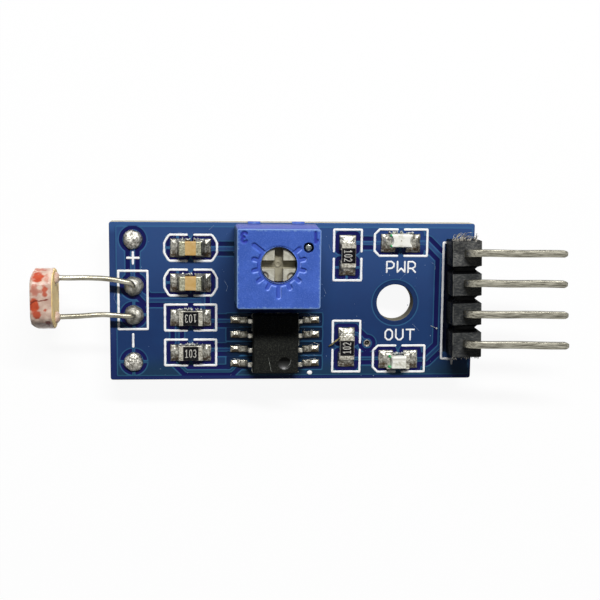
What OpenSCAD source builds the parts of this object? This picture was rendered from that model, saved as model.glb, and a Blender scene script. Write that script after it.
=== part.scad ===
// Light sensor module: a photoresistor, a comparator and a trimmer on a small circuit board.
// Millimetres. +X runs towards the header pins, +Y away from the comparator, +Z out of the
// component side. The origin is the centre of the mounting hole on the board's underside.

/* [Circuit board] */
// Length of the board along X
board_l = 31.6; // [31:0.1:36]
// Width of the board along Y
board_w = 13.7; // [13.5:0.1:17]
// Thickness of the board
board_t = 1.6; // [0.8:0.1:2]
// Radius of the board's corners
board_corner_r = 0.2; // [0.15:0.05:0.9]
// Diameter of the mounting hole
mounting_hole_d = 3.2; // [2.4:0.1:3.4]
// Distance from the header end of the board to the mounting hole
mounting_hole_inset = 6.9; // [6.6:0.1:7.2]
// How far the mounting hole lies below the board's centre line
mounting_hole_drop = 0.1; // [0:0.05:0.5]
// Diameter of the small plated hole beside the output resistor
via_d = 0.46; // [0.3:0.02:0.6]
// Length of the trimmed leads under the board
tail_l = 1.2; // [0.8:0.1:2]

/* [Photoresistor] */
// Diameter of the photoresistor's disc
disc_d = 5.1; // [4.8:0.1:6]
// Width of the disc across its two flats
disc_flats = 4.3; // [3.6:0.1:4.6]
// Thickness of the ceramic disc
disc_t = 1.45; // [1.1:0.05:2]
// Thickness of the clear coat over the disc's face
coat_t = 0.4; // [0.25:0.05:0.6]
// Distance between the two leads where they enter the disc
disc_lead_pitch = 3.4; // [2.8:0.1:3.6]
// Diameter of the leads
lead_d = 0.45; // [0.35:0.05:0.6]
// Distance from the end of the board to the back of the disc
disc_reach = 4.4; // [2.5:0.1:8]
// Height of the leads above the board
lead_rise = 1; // [0.9:0.05:2]
// Number of legs of the light-sensitive track
track_legs = 7; // [5:2:9]
// Width of the light-sensitive track
track_w = 0.26; // [0.16:0.02:0.28]

/* [Trimmer] */
// Size of the trimmer along X
trimmer_l = 6.9; // [6.7:0.1:7.2]
// Size of the trimmer along Y
trimmer_w = 6.6; // [6.4:0.1:7]
// Height of the trimmer above the board
trimmer_h = 4.88; // [4.7:0.05:6]
// Height of the trimmer's feet
trimmer_foot_h = 0.38; // [0.25:0.02:0.5]
// Diameter of the window over the rotor
window_d = 3.0; // [2.7:0.05:3.2]
// Running clearance round the rotor's head
rotor_clearance = 0.05; // [0.03:0.01:0.1]
// Thickness of the wall round the window
trimmer_top_t = 0.8; // [0.75:0.05:1]
// Width of the screwdriver slots
slot_w = 0.67; // [0.4:0.01:0.9]
// Depth of the screwdriver slots
slot_depth = 0.7; // [0.3:0.05:0.9]
// Travel of the rotor to each side of its middle, in degrees
rotor_travel = 130; // [110:5:135]
// Marks on the dial
dial_marks = 11; // [5:2:13]
// Depth of the dial's engraving
dial_depth = 0.14; // [0.08:0.02:0.2]

/* [Comparator] */
// Length of the comparator's body along Y
comparator_l = 5.2; // [4.7:0.1:5.3]
// Width of the comparator's body along X
comparator_w = 4.0; // [3.6:0.1:4.2]
// Height of the comparator's body
comparator_h = 1.45; // [1.2:0.05:1.7]
// Distance between the comparator's leads
comparator_pitch = 1.27; // [1.1:0.01:1.3]
// Width of each lead
comparator_lead_w = 0.42; // [0.3:0.02:0.5]
// Width over the tips of the leads
comparator_span = 6.1; // [5.8:0.1:6.3]

/* [Chips] */
// Length of a chip resistor, capacitor or light
chip_l = 2.0; // [1.8:0.05:2.1]
// Width of a chip
chip_w = 1.22; // [1.1:0.02:1.3]
// Height of a chip resistor
resistor_h = 0.55; // [0.45:0.05:0.7]
// Height of a chip capacitor
capacitor_h = 0.85; // [0.6:0.05:1.2]
// Height of a chip light
light_h = 0.8; // [0.65:0.05:1.1]
// Distance between the four chips in the column
chip_row_pitch = 3.04; // [2.9:0.02:3.06]
// Length of the metal caps at the ends of a chip resistor
resistor_cap_l = 0.33; // [0.25:0.01:0.45]
// Length of the metal caps at the ends of a chip capacitor
capacitor_cap_l = 0.54; // [0.3:0.02:0.6]
// Length of the metal caps at the ends of a chip light
light_cap_l = 0.27; // [0.25:0.01:0.4]

/* [Header] */
// Distance between the header pins
pin_pitch = 2.54; // [2.5:0.01:2.54]
// Size of the square header pins
pin_w = 0.64; // [0.5:0.02:0.7]
// Width and height of the header's plastic strip
strip_w = 2.54; // [2.3:0.02:2.6]
// Distance from the header to the tips of its pins
pin_reach = 7.15; // [5:0.05:12]
// Height of the bent pins over the plastic
pin_rise = 0.95; // [0.9:0.05:2]

/* [Hidden] */
$fn = 48;

// One node each stands for the header's four pins
pin_count = 4;

// Gap between pieces that are glued, pressed or soldered together
seat_gap = 0.02;
// Play between a lead and the hole in the board that it goes through
lead_hole_play = 0.14;
// A little more than a cut needs, so that it goes right through
cut = 1;

// Edges and centre line of the board, seen from the mounting hole
right_x = mounting_hole_inset;
left_x = right_x - board_l;
middle_y = mounting_hole_drop;
top_y = middle_y + board_w / 2;
bottom_y = middle_y - board_w / 2;

// Joints at the photoresistor's end: how far in from the board's end and edges they lie.
// The rows on the board sit a little above its centre line.
joint_inset = 2.05;
joint_gap = 2.5;
row_lift = 0.1;
pad_margin = 1.55;
joint_x = left_x + joint_inset;
joint_y = middle_y + row_lift;
pad_y = board_w / 2 - pad_margin;
lead_hole_r = lead_d / 2 + lead_hole_play;
blob_r = 0.84;
blob_h = 0.5;
blob_hole_r = 0.45;

// Chips and lights: distances from the ends and long edges of the board
chip_column_inset = 6.92;
series_resistor_inset = 11.1;
series_resistor_margin = 2.8;
light_inset = 6.55;
light_margin = 1.5;
via_inset = 9.3;
via_margin = 3.15;
chip_column_x = left_x + chip_column_inset;
chip_column_y = middle_y + row_lift;
series_resistor_x = right_x - series_resistor_inset;
light_x = right_x - light_inset;
via_x = right_x - via_inset;
via_y = bottom_y + via_margin;

// The trimmer stands at the board's upper edge, the comparator at its lower one
trimmer_inset = 14.2;
trimmer_margin = 0.2;
comparator_margin = 0.75;
trimmer_x = left_x + trimmer_inset;
trimmer_y = top_y - trimmer_margin - trimmer_w / 2;
comparator_x = trimmer_x;
comparator_y = bottom_y + comparator_margin + comparator_l / 2;

// The header stands at the end of the board, a little over its edge
header_inset = 1.1;
header_lift = 0.4;
header_x = right_x - header_inset;
header_y = middle_y + header_lift;

PIN_ROWS = [for (k = [0 : pin_count - 1]) header_y + ((pin_count - 1) / 2 - k) * pin_pitch];
CHIP_ROWS = [for (k = [0 : 3]) chip_column_y + (1.5 - k) * chip_row_pitch];

SOLDER = [0.78, 0.77, 0.73];
TIN = [0.72, 0.70, 0.64];
CERAMIC = [0.90, 0.88, 0.80];

// A flat rectangle with round corners, centred
module rounded_rectangle(l, w, r) {
    square([l - 2 * r, w], center = true);
    square([l, w - 2 * r], center = true);
    for (x = [-1, 1], y = [-1, 1])
        translate([x * (l / 2 - r), y * (w / 2 - r)]) circle(r);
}

// Board

pin_hole_play = 0.06;
pin_hole_r = pin_w / sqrt(2) + pin_hole_play;
trimmer_pin_d = 0.5;
trimmer_pin_hole_r = trimmer_pin_d / 2 + lead_hole_play;

module circuit_board() {
    color([0.13, 0.25, 0.47])
    difference() {
        translate([(left_x + right_x) / 2, middle_y, 0])
            linear_extrude(board_t) rounded_rectangle(board_l, board_w, board_corner_r);
        board_hole([0, 0], mounting_hole_d / 2);
        board_hole([via_x, via_y], via_d / 2);
        for (s = [-1, 1]) {
            board_hole([joint_x, joint_y + s * joint_gap / 2], lead_hole_r);
            board_hole([joint_x, middle_y + s * pad_y], blob_hole_r);
        }
        for (y = PIN_ROWS) board_hole([header_x, y], pin_hole_r);
        for (p = TRIMMER_PINS) board_hole([trimmer_x + p.x, trimmer_y + p.y], trimmer_pin_hole_r);
    }
}

module board_hole(at, r) {
    translate([at.x, at.y, -cut]) cylinder(r = r, h = board_t + 2 * cut);
}

// Solder

// Radius of a solder cone at height t between its foot (t = 0) and its tip (t = 1)
function cone_r(foot, tip, t) = tip + (foot - tip) * pow(1 - t, 2);

// A plug of solder that fills a hole in the board: a cone under the board, and on the
// component side a round blob, or nothing where a part stands over the hole
module solder_joint(hole_r, blob, blob_top, cone_foot, cone_tip, cone_h) {
    steps = 8;
    plug_r = hole_r - seat_gap;
    dome = [for (k = [0 : steps]) let (a = 90 * k / steps)
        [blob * cos(a), board_t + blob_top * sin(a)]];
    cone = [for (k = [steps : -1 : 0]) let (t = k / steps)
        [cone_r(cone_foot, cone_tip, t), -cone_h * t]];
    head = blob > 0
        ? concat([[plug_r, board_t]], dome)
        : [[plug_r, board_t - seat_gap], [0, board_t - seat_gap]];
    rotate_extrude() polygon(concat([[0, -cone_h]], cone, [[plug_r, 0]], head));
}

// The solder cone climbs this share of a lead's tail
cone_climb = 0.75;
cone_foot_r = 0.8;
cone_tip_wall = 0.08;
bare_cone_h = 0.35;
bare_cone_tip_r = 0.2;

module pad_solder(side) {
    color(SOLDER)
    translate([joint_x, middle_y + side * pad_y, 0])
        solder_joint(blob_hole_r, blob_r, blob_h, cone_foot_r, bare_cone_tip_r, bare_cone_h);
}

module photoresistor_solder() {
    color(SOLDER)
    for (s = [-1, 1])
        difference() {
            translate([joint_x, joint_y + s * joint_gap / 2, 0])
                solder_joint(lead_hole_r, blob_r, blob_h, cone_foot_r, lead_d / 2 + cone_tip_wall,
                    tail_l * cone_climb);
            translate([joint_x, joint_y + s * joint_gap / 2, -tail_l - cut])
                cylinder(d = lead_d + 2 * seat_gap, h = board_t + tail_l + 3 * cut);
        }
}

// Photoresistor. Its disc stands on edge past the end of the board and looks along -X.

disc_x = left_x - disc_reach;
// The disc hangs a little off the joints' centre line
disc_lift = 0.33;
disc_y = joint_y + disc_lift;
disc_z = board_t + lead_rise;
lead_seat = 0.6;
electrode_t = 0.03;
electrode_margin = 0.15;
track_t = 0.05;
coat_rim = 0.14;

// Puts the disc's pieces in place: +Z of the drawing is the disc's face, turned to -X
module at_disc() {
    translate([disc_x, disc_y, disc_z]) rotate([0, -90, 0]) children();
}

// The disc's outline, with its flats along the drawing's Y
module disc_outline(d, flats) {
    intersection() {
        circle(d = d, $fn = 96);
        square([flats, d + cut], center = true);
    }
}

module photoresistor_disc() {
    color([0.80, 0.70, 0.48])
    at_disc()
    difference() {
        linear_extrude(disc_t) disc_outline(disc_d, disc_flats);
        for (s = [-1, 1])
            translate([0, s * disc_lead_pitch / 2, -cut])
                cylinder(d = lead_d + 2 * seat_gap, h = lead_seat + cut);
    }
}

track_to_lead = 0.4;
leg_to_flat = 0.75;
track_span = disc_lead_pitch - 2 * track_to_lead;
track_step = track_span / (track_legs - 1);
leg_l = disc_flats - 2 * leg_to_flat;

// The light-sensitive track: straight legs joined end to end, one to the next
module track_outline() {
    for (k = [0 : track_legs - 1])
        translate([-leg_l / 2, -track_span / 2 + k * track_step - track_w / 2])
            square([leg_l, track_w]);
    for (k = [0 : track_legs - 2])
        translate([(k % 2 == 0 ? 1 : -1) * (leg_l - track_w) / 2, (k + 0.5) * track_step - track_span / 2])
            square([track_w, track_step + track_w], center = true);
}

module photoresistor_track() {
    color([0.82, 0.33, 0.16])
    at_disc() translate([0, 0, disc_t]) linear_extrude(track_t) track_outline();
}

// The two metal electrodes fill the face on each side of the track
module photoresistor_electrodes() {
    color([0.80, 0.79, 0.75])
    at_disc() translate([0, 0, disc_t])
    linear_extrude(electrode_t)
    difference() {
        disc_outline(disc_d - 2 * electrode_margin, disc_flats - 2 * electrode_margin);
        track_outline();
        for (s = [-1, 1])
            translate([s * (disc_flats + leg_l) / 4, -s * (track_span / 2)])
                square([(disc_flats - leg_l) / 2 + track_w, track_w], center = true);
    }
}

module photoresistor_coat() {
    color([0.93, 0.84, 0.80, 0.6])
    at_disc()
    difference() {
        translate([0, 0, disc_t]) linear_extrude(coat_t) disc_outline(disc_d, disc_flats);
        translate([0, 0, disc_t - cut])
            linear_extrude(track_t + seat_gap + cut)
                disc_outline(disc_d - 2 * coat_rim, disc_flats - 2 * coat_rim);
    }
}

// A round wire along a list of points: rings of `sides` points square to the path
module round_wire(path, r, sides = 16) {
    last = len(path) - 1;
    rings = [for (k = [0 : last])
        let (
            along = path[min(k + 1, last)] - path[max(k - 1, 0)],
            ahead = along / norm(along),
            side = cross(ahead, [0, 1, 0]),
            across = side / norm(side),
            up = cross(across, ahead)
        )
        for (j = [0 : sides - 1]) path[k] + r * (across * cos(360 * j / sides) + up * sin(360 * j / sides))];
    walls = [for (k = [0 : last - 1], j = [0 : sides - 1])
        let (a = k * sides + j, b = k * sides + (j + 1) % sides)
        [a, b, b + sides, a + sides]];
    ends = [[for (j = [sides - 1 : -1 : 0]) j], [for (j = [0 : sides - 1]) last * sides + j]];
    polyhedron(points = rings, faces = concat(walls, ends), convexity = 6);
}

// A lead rises through the board, bends over and runs level to the disc, easing sideways
// by s * spread as it leaves the joint
module photoresistor_lead(s) {
    bend_r = 0.42;
    bend_steps = 6;
    ease_steps = 10;
    clear_of_board = 0.1;
    y0 = joint_y + s * joint_gap / 2;
    y1 = disc_y + s * disc_lead_pitch / 2;
    top = disc_z - bend_r;
    bend_end = joint_x - bend_r;
    ease_end = left_x - clear_of_board;
    rise = [[joint_x, y0, -tail_l], [joint_x, y0, board_t / 2]];
    bend = [for (k = [0 : bend_steps]) let (a = 90 * k / bend_steps)
        [joint_x - bend_r * (1 - cos(a)), y0, top + bend_r * sin(a)]];
    ease = [for (k = [1 : ease_steps]) let (t = k / ease_steps)
        [bend_end + (ease_end - bend_end) * t, y0 + (y1 - y0) * t * t * (3 - 2 * t), disc_z]];
    seat = [[disc_x - lead_seat + seat_gap, y1, disc_z]];
    color(TIN) round_wire(concat(rise, bend, ease, seat), lead_d / 2);
}

// Chips. Each is drawn lying along X with its underside at z = 0.

cap_t = 0.04;
pad_out = 0.78;
pad_w = 1.5;
pad_foot_h = 0.08;
// How far the solder climbs the end of each kind of chip
capacitor_climb = capacitor_h * 0.6;
resistor_climb = resistor_h * 0.8;

module at_chip(at, turn = 0) {
    translate([at[0], at[1], board_t]) rotate(turn) children();
}

// A concave fillet of solder at each end of a chip, climbing its metal cap
module chip_fillets(climb) {
    steps = 6;
    foot = pad_foot_h;
    curve = [for (k = [0 : steps]) let (t = k / steps)
        [pad_out * (1 - t), foot + (climb - foot) * t * t]];
    for (s = [0, 180])
        rotate(s) translate([chip_l / 2 + seat_gap, 0, 0])
            rotate([90, 0, 0]) linear_extrude(pad_w, center = true)
                polygon(concat([[0, 0], [pad_out, 0]], curve));
}

// Metal caps on the ends: top, end and underside, and the sides as well when `sides` is set
module end_caps(l, h, sides) {
    core_w = sides ? chip_w - 2 * cap_t : chip_w + cut;
    difference() {
        for (s = [-1, 1])
            translate([s * (chip_l - l) / 2, 0, h / 2]) cube([l, chip_w, h], center = true);
        translate([0, 0, h / 2]) cube([chip_l - 2 * cap_t, core_w, h - 2 * cap_t], center = true);
    }
}

module capacitor_body(at) {
    color([0.78, 0.62, 0.40])
    at_chip(at) translate([0, 0, capacitor_h / 2])
        cube([chip_l - 2 * cap_t, chip_w - 2 * cap_t, capacitor_h - 2 * cap_t], center = true);
}

module resistor_substrate(at, turn) {
    color(CERAMIC)
    at_chip(at, turn) translate([0, 0, resistor_h / 2])
        cube([chip_l - 2 * cap_t, chip_w, resistor_h - 2 * cap_t], center = true);
}

overcoat_margin = 0.02;
overcoat_t = 0.05;

module resistor_overcoat(at, turn) {
    overcoat_l = chip_l - 2 * resistor_cap_l - 2 * seat_gap;
    overcoat_w = chip_w - 2 * overcoat_margin;
    color([0.07, 0.07, 0.08])
    at_chip(at, turn) translate([-overcoat_l / 2, -overcoat_w / 2, resistor_h - cap_t])
        cube([overcoat_l, overcoat_w, overcoat_t]);
}

light_base_h = 0.34;
light_notch_r = 0.22;
light_climb = light_base_h * 0.9;
lens_lean = 0.08;
lens_lip = 0.1;
scoop_r = 0.45;
scoop_out = 0.33;
die_w = 0.3;
die_h = 0.14;

// The light's base is a small laminate with a half-round bite at each end
module light_base(at, turn) {
    color([0.55, 0.72, 0.55])
    at_chip(at, turn)
    difference() {
        translate([0, 0, light_base_h / 2])
            cube([chip_l - 2 * cap_t, chip_w, light_base_h - 2 * cap_t], center = true);
        light_bites();
    }
}

module light_bites() {
    for (s = [-1, 1])
        translate([s * chip_l / 2, 0, -cut]) cylinder(r = light_notch_r, h = light_base_h + 2 * cut);
}

module light_terminals(at, turn) {
    color(TIN)
    at_chip(at, turn)
    difference() {
        end_caps(light_cap_l, light_base_h, false);
        light_bites();
    }
}

module light_die(at, turn) {
    color([0.20, 0.65, 0.35])
    at_chip(at, turn) translate([0, 0, light_base_h - cap_t + die_h / 2])
        cube([die_w, die_w, die_h], center = true);
}

// The lens is moulded on the base between the terminals, with leaning ends that are hollow
module light_lens(at, turn) {
    foot = chip_l / 2 - light_cap_l;
    top = foot - lens_lean;
    z0 = light_base_h - cap_t;
    color([0.93, 0.95, 0.90, 0.85])
    at_chip(at, turn)
    difference() {
        rotate([90, 0, 0]) linear_extrude(chip_w, center = true)
            polygon([[-foot, z0], [foot, z0], [top, light_h], [-top, light_h]]);
        for (s = [-1, 1])
            translate([s * (foot + scoop_out), 0, z0 + lens_lip]) cylinder(r = scoop_r, h = light_h);
        translate([0, 0, z0 + die_h / 2])
            cube([die_w + 2 * seat_gap, die_w + 2 * seat_gap, die_h + 2 * seat_gap], center = true);
    }
}

SERIES_TURN = 90;
SERIES = [for (y = [top_y - series_resistor_margin, bottom_y + series_resistor_margin])
    [series_resistor_x, y]];
COLUMN = [for (y = CHIP_ROWS) [chip_column_x, y]];
LIGHTS = [for (y = [top_y - light_margin, bottom_y + light_margin]) [light_x, y]];

module capacitor_terminals(at) {
    color(TIN) at_chip(at) end_caps(capacitor_cap_l, capacitor_h, true);
}

module resistor_terminals(at, turn) {
    color(TIN) at_chip(at, turn) end_caps(resistor_cap_l, resistor_h, false);
}

module capacitor_solder() {
    color(SOLDER) for (k = [0, 1]) at_chip(COLUMN[k]) chip_fillets(capacitor_climb);
}

module resistor_solder() {
    color(SOLDER) {
        for (k = [2, 3]) at_chip(COLUMN[k]) chip_fillets(resistor_climb);
        for (at = SERIES) at_chip(at, SERIES_TURN) chip_fillets(resistor_climb);
    }
}

module light_solder() {
    color(SOLDER) for (at = LIGHTS) at_chip(at) chip_fillets(light_climb);
}

// Comparator: an eight-lead package with gull-wing leads

lead_t = 0.2;
standoff = 0.12;
parting = standoff + comparator_h * 0.48;
side_lean = 0.11;
end_lean = 0.09;
lead_root = 0.4;
lead_shoulder = 0.18;
lead_splay = 0.08;
foot_l = 0.6;
foot_z = 0.04;
pad_past_tip = 0.82;
solder_margin = 0.1;
dimple_r = 0.55;
dimple_depth = 0.14;
dimple_from_side = 1.25;
dimple_from_end = 0.95;
LEAD_ROWS = [for (k = [0 : 3]) (1.5 - k) * comparator_pitch];

// Side view of the body along one axis: widest at the parting line, drafted above and below
module drafted_side(w, lean) {
    polygon([
        [-w / 2 + lean, standoff], [w / 2 - lean, standoff], [w / 2, parting],
        [w / 2 - lean, standoff + comparator_h], [-w / 2 + lean, standoff + comparator_h], [-w / 2, parting]
    ]);
}

// One lead in side view: out of the body, down and out again to a flat foot
module gull_wing() {
    tip = comparator_span / 2;
    knee = tip - foot_l;
    shoulder = comparator_w / 2 + lead_shoulder;
    z1 = parting + lead_t / 2;
    inside = comparator_w / 2 - lead_root;
    polygon([
        [inside, z1], [shoulder, z1], [knee + lead_splay, foot_z + lead_t], [tip, foot_z + lead_t],
        [tip, foot_z], [knee, foot_z], [shoulder - lead_t * 0.6, z1 - lead_t], [inside, z1 - lead_t]
    ]);
}

module comparator_lead_set() {
    for (s = [0, 180], y = LEAD_ROWS)
        rotate(s) translate([0, y, 0])
            rotate([90, 0, 0]) linear_extrude(comparator_lead_w, center = true) gull_wing();
}

module at_comparator() {
    translate([comparator_x, comparator_y, board_t]) children();
}

module comparator_body() {
    color([0.10, 0.10, 0.10])
    at_comparator()
    difference() {
        intersection() {
            rotate([90, 0, 0]) linear_extrude(comparator_l + cut, center = true)
                drafted_side(comparator_w, side_lean);
            rotate([90, 0, 90]) linear_extrude(comparator_w + cut, center = true)
                drafted_side(comparator_l, end_lean);
        }
        comparator_lead_set();
        translate([comparator_w / 2 - dimple_from_side, dimple_from_end - comparator_l / 2,
            standoff + comparator_h - dimple_depth]) cylinder(r = dimple_r, h = cut);
    }
}

module comparator_leads() {
    color(TIN) at_comparator() comparator_lead_set();
}

// Solder under and round each foot, out to the end of its pad
module comparator_solder() {
    pad_reach = comparator_span / 2 + pad_past_tip;
    solder_w = comparator_lead_w + 2 * solder_margin;
    color(SOLDER)
    at_comparator()
    difference() {
        for (s = [-1, 1], y = LEAD_ROWS)
            translate([s * (pad_reach + comparator_span / 2 - foot_l) / 2, y, 0])
                rotate([90, 0, 0]) linear_extrude(solder_w, center = true)
                    solder_hump((pad_reach - comparator_span / 2 + foot_l) / 2);
        comparator_lead_set();
    }
}

// A low hump of solder in side view, `half` long to each side
module solder_hump(half) {
    steps = 8;
    foot = 0.05;
    swell = 0.12;
    polygon(concat([[-half, 0], [half, 0]], [for (k = [0 : steps]) let (a = 180 * k / steps)
        [half * cos(a), foot + swell * sin(a)]]));
}

// Trimmer. Heights are above the board; the rotor's axis lies a little above the centre.

rotor_dy = 0.34;
trimmer_corner_r = 0.22;
trimmer_foot_l = 1.1;
trimmer_foot_w = 0.5;
trimmer_foot_proud = 0.3;
trimmer_foot_inset = 1.55;
pocket_wall = 0.4;
pocket_top = 1.92;
cavity_r = 2.6;
potting_z = 0.5;
element_z = 1.3;
element_top = pocket_top - seat_gap;
cermet_t = 0.03;

// The rotor's head turns in the window; its flange turns in the cavity, under the seal
rotor_r = window_d / 2 - rotor_clearance;
rotor_drop = 0.28;
flange_z = 2.36;
seal_gap = 0.02;
seal_r = 0.33;
cavity_top = trimmer_h - trimmer_top_t;
flange_top = cavity_top - 2 * seal_r - seal_gap;
flange_r = 2.25;

// The lug on the flange meets the stop on the cavity's wall at each end of the travel,
// less one degree, and clears the wall and the cavity's roof
lug_r = 2.48;
lug_bite = 0.3;
lug_drop = 0.1;
stop_r = 2.3;
lug_half = 18;
stop_half = 180 - rotor_travel - lug_half - 1;

// The bright stud beside terminal 1, from the housing's right and upper edges
stud_inset = [1.03, 1.51];
stud_at = [trimmer_l / 2 - stud_inset.x, trimmer_w / 2 - stud_inset.y];
stud_r = 0.32;
stud_hole_r = 0.4;
stud_hole_depth = 0.72;
stud_sink = 0.12;

// Pins 1 and 3 stand at the ends of the upper row, pin 2 in the middle of the lower one
pin_from_end = 0.91;
pin_from_side = 1.5;
pin_row_gap = 2.54;
TRIMMER_PINS = [for (s = [1, 0, -1])
    [s * (trimmer_l / 2 - pin_from_end), trimmer_w / 2 - pin_from_side - (s == 0 ? pin_row_gap : 0)]];

module at_trimmer() {
    translate([trimmer_x, trimmer_y, board_t]) children();
}

module at_rotor() {
    at_trimmer() translate([0, rotor_dy, 0]) children();
}

// A ring cut to a sector, centred on angle `mid`
module ring_sector(r0, r1, h, mid, half) {
    rotate(mid - half) rotate_extrude(angle = 2 * half, $fn = 96)
        translate([r0, 0]) square([r1 - r0, h]);
}

// The travel that the dial shows stops a little short of the real one
dial_spare = 1.5;
mark_step = 2 * (rotor_travel - dial_spare) / (dial_marks - 1);
first_mark = -90 - (dial_marks - 1) / 2 * mark_step;
middle_mark = (dial_marks - 1) / 2;
ring_w = 0.28;
mark_w = 0.28;
mark_l = 0.75;
long_mark_l = 1.25;
groove_r = window_d / 2 + seat_gap;

// The dial: a sunk ring round the window, open where the scale ends meet, and marks that
// run out of it like rays, with longer ones at the first end and in the middle
module dial() {
    open = 2 * groove_r;
    difference() {
        cylinder(r = groove_r + ring_w, h = cut);
        rotate(90) translate([0, 0, -cut]) linear_extrude(3 * cut)
            polygon([[0, 0], [open, open], [open, -open]]);
    }
    for (k = [0 : dial_marks - 1])
        rotate(first_mark + k * mark_step)
            dial_mark(k == 0 || k == middle_mark ? long_mark_l : mark_l);
}

// One mark, from under the ring out to a round end
module dial_mark(l) {
    translate([groove_r, -mark_w / 2, 0]) cube([l - mark_w / 2, mark_w, cut]);
    translate([groove_r + l - mark_w / 2, 0, 0]) cylinder(d = mark_w, h = cut);
}

// Four feet carry the housing and stand a little proud of its walls
module trimmer_feet() {
    across = trimmer_foot_w + trimmer_foot_proud;
    for (x = [-1, 1], y = [-1, 1])
        translate([x * (trimmer_l / 2 - trimmer_foot_inset),
            y * (trimmer_w / 2 + trimmer_foot_proud - across / 2), trimmer_foot_h / 2])
            cube([trimmer_foot_l, across, trimmer_foot_h], center = true);
}

module trimmer_housing() {
    color([0.24, 0.36, 0.74])
    difference() {
        at_trimmer() {
            translate([0, 0, trimmer_foot_h]) linear_extrude(trimmer_h - trimmer_foot_h)
                rounded_rectangle(trimmer_l, trimmer_w, trimmer_corner_r);
            trimmer_feet();
        }
        at_trimmer() {
            translate([0, 0, pocket_top / 2 - cut])
                cube([trimmer_l - 2 * pocket_wall, trimmer_w - 2 * pocket_wall, pocket_top + 2 * cut],
                    center = true);
            translate([stud_at.x, stud_at.y, trimmer_h - stud_hole_depth]) cylinder(r = stud_hole_r, h = cut);
        }
        at_rotor() {
            difference() {
                cylinder(r = cavity_r, h = cavity_top, $fn = 96);
                translate([0, 0, flange_z])
                    ring_sector(stop_r, cavity_r + cut, flange_top - flange_z, 90, stop_half);
            }
            cylinder(d = window_d, h = trimmer_h + cut, $fn = 96);
            translate([0, 0, trimmer_h - dial_depth]) dial();
        }
    }
}

// The moulding's nub at the bottom of the cross slot
nub_r = slot_w * 0.36;
nub_h = 0.08;

module trimmer_rotor() {
    color([0.77, 0.75, 0.67])
    at_rotor()
    difference() {
        union() {
            translate([0, 0, flange_z]) cylinder(r = flange_r, h = flange_top - flange_z, $fn = 96);
            translate([0, 0, flange_z])
                ring_sector(flange_r - lug_bite, lug_r, flange_top - flange_z - lug_drop, -90, lug_half);
            translate([0, 0, flange_z])
                cylinder(r = rotor_r, h = trimmer_h - rotor_drop - flange_z, $fn = 96);
        }
        difference() {
            for (a = [0, 90])
                rotate(a) translate([0, 0, trimmer_h - rotor_drop - slot_depth / 2 + cut / 2])
                    cube([2 * rotor_r + cut, slot_w, slot_depth + cut], center = true);
            translate([0, 0, trimmer_h - rotor_drop - slot_depth]) cylinder(r = nub_r, h = nub_h);
        }
    }
}

wiper_w = 0.5;
wiper_t = 0.09;
wiper_hub_r = 0.8;
wiper_toe = 0.1;
wiper_slope = 0.2;
contact_r = 0.3;
contact_gap = 0.01;
track_mid_r = 1.95;
cermet_w = 0.5;
centre_cermet_r = 0.5;

// The wiper: a flat spring under the rotor, with a contact at its middle and a finger that
// slopes down to the track
module trimmer_wiper() {
    z1 = flange_z;
    z0 = element_top + cermet_t + contact_gap;
    toe = track_mid_r + wiper_toe;
    heel = track_mid_r - wiper_slope;
    color([0.80, 0.70, 0.42])
    at_rotor() {
        translate([0, 0, z1 - wiper_t]) cylinder(r = wiper_hub_r, h = wiper_t);
        rotate(-90) rotate([90, 0, 0]) linear_extrude(wiper_w, center = true)
            polygon([
                [wiper_hub_r - wiper_toe, z1], [wiper_hub_r - wiper_toe, z1 - wiper_t],
                [heel - wiper_t / 2, z0], [toe, z0], [toe, z0 + wiper_t], [heel, z0 + wiper_t],
                [wiper_hub_r + wiper_toe, z1]
            ]);
        translate([0, 0, z0]) cylinder(r = contact_r, h = z1 - wiper_t - z0);
    }
}

// A plate that fills the housing's pocket from z0 up to z1, with a hole round each pin
module pocket_plate(z0, z1) {
    play = 2 * (pocket_wall + seat_gap);
    at_trimmer()
    difference() {
        translate([0, 0, (z0 + z1) / 2])
            cube([trimmer_l - play, trimmer_w - play, z1 - z0], center = true);
        for (p = TRIMMER_PINS)
            translate([p.x, p.y, 0]) cylinder(d = trimmer_pin_d + 2 * seat_gap, h = trimmer_h / 2);
    }
}

// The ceramic plate that carries the resistive track
module trimmer_element() {
    color(CERAMIC) pocket_plate(element_z, element_top);
}

module trimmer_track() {
    color([0.16, 0.14, 0.13])
    at_rotor() translate([0, 0, element_top]) {
        ring_sector(track_mid_r - cermet_w / 2, track_mid_r + cermet_w / 2, cermet_t, -90, rotor_travel);
        cylinder(r = centre_cermet_r, h = cermet_t);
    }
}

module trimmer_seal() {
    color([0.12, 0.12, 0.12])
    at_rotor() translate([0, 0, flange_top + seal_r + seal_gap / 2])
        rotate_extrude($fn = 64) translate([rotor_r + seal_r + seal_gap, 0]) circle(seal_r, $fn = 24);
}

// The potting that closes the bottom of the housing
module trimmer_potting() {
    color([0.45, 0.47, 0.52]) pocket_plate(potting_z, element_z - seat_gap);
}

// The bright stud beside terminal 1
module trimmer_stud() {
    color(TIN)
    at_trimmer() translate([stud_at.x, stud_at.y, trimmer_h - stud_hole_depth + seat_gap])
        rotate_extrude() intersection() {
            translate([0, stud_sink]) circle(stud_r, $fn = 32);
            square([stud_r, cut]);
        }
}

module trimmer_pin(k) {
    p = TRIMMER_PINS[k - 1];
    color(TIN)
    at_trimmer() translate([p.x, p.y, -board_t - tail_l])
        cylinder(d = trimmer_pin_d, h = board_t + tail_l + element_top);
}

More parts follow.
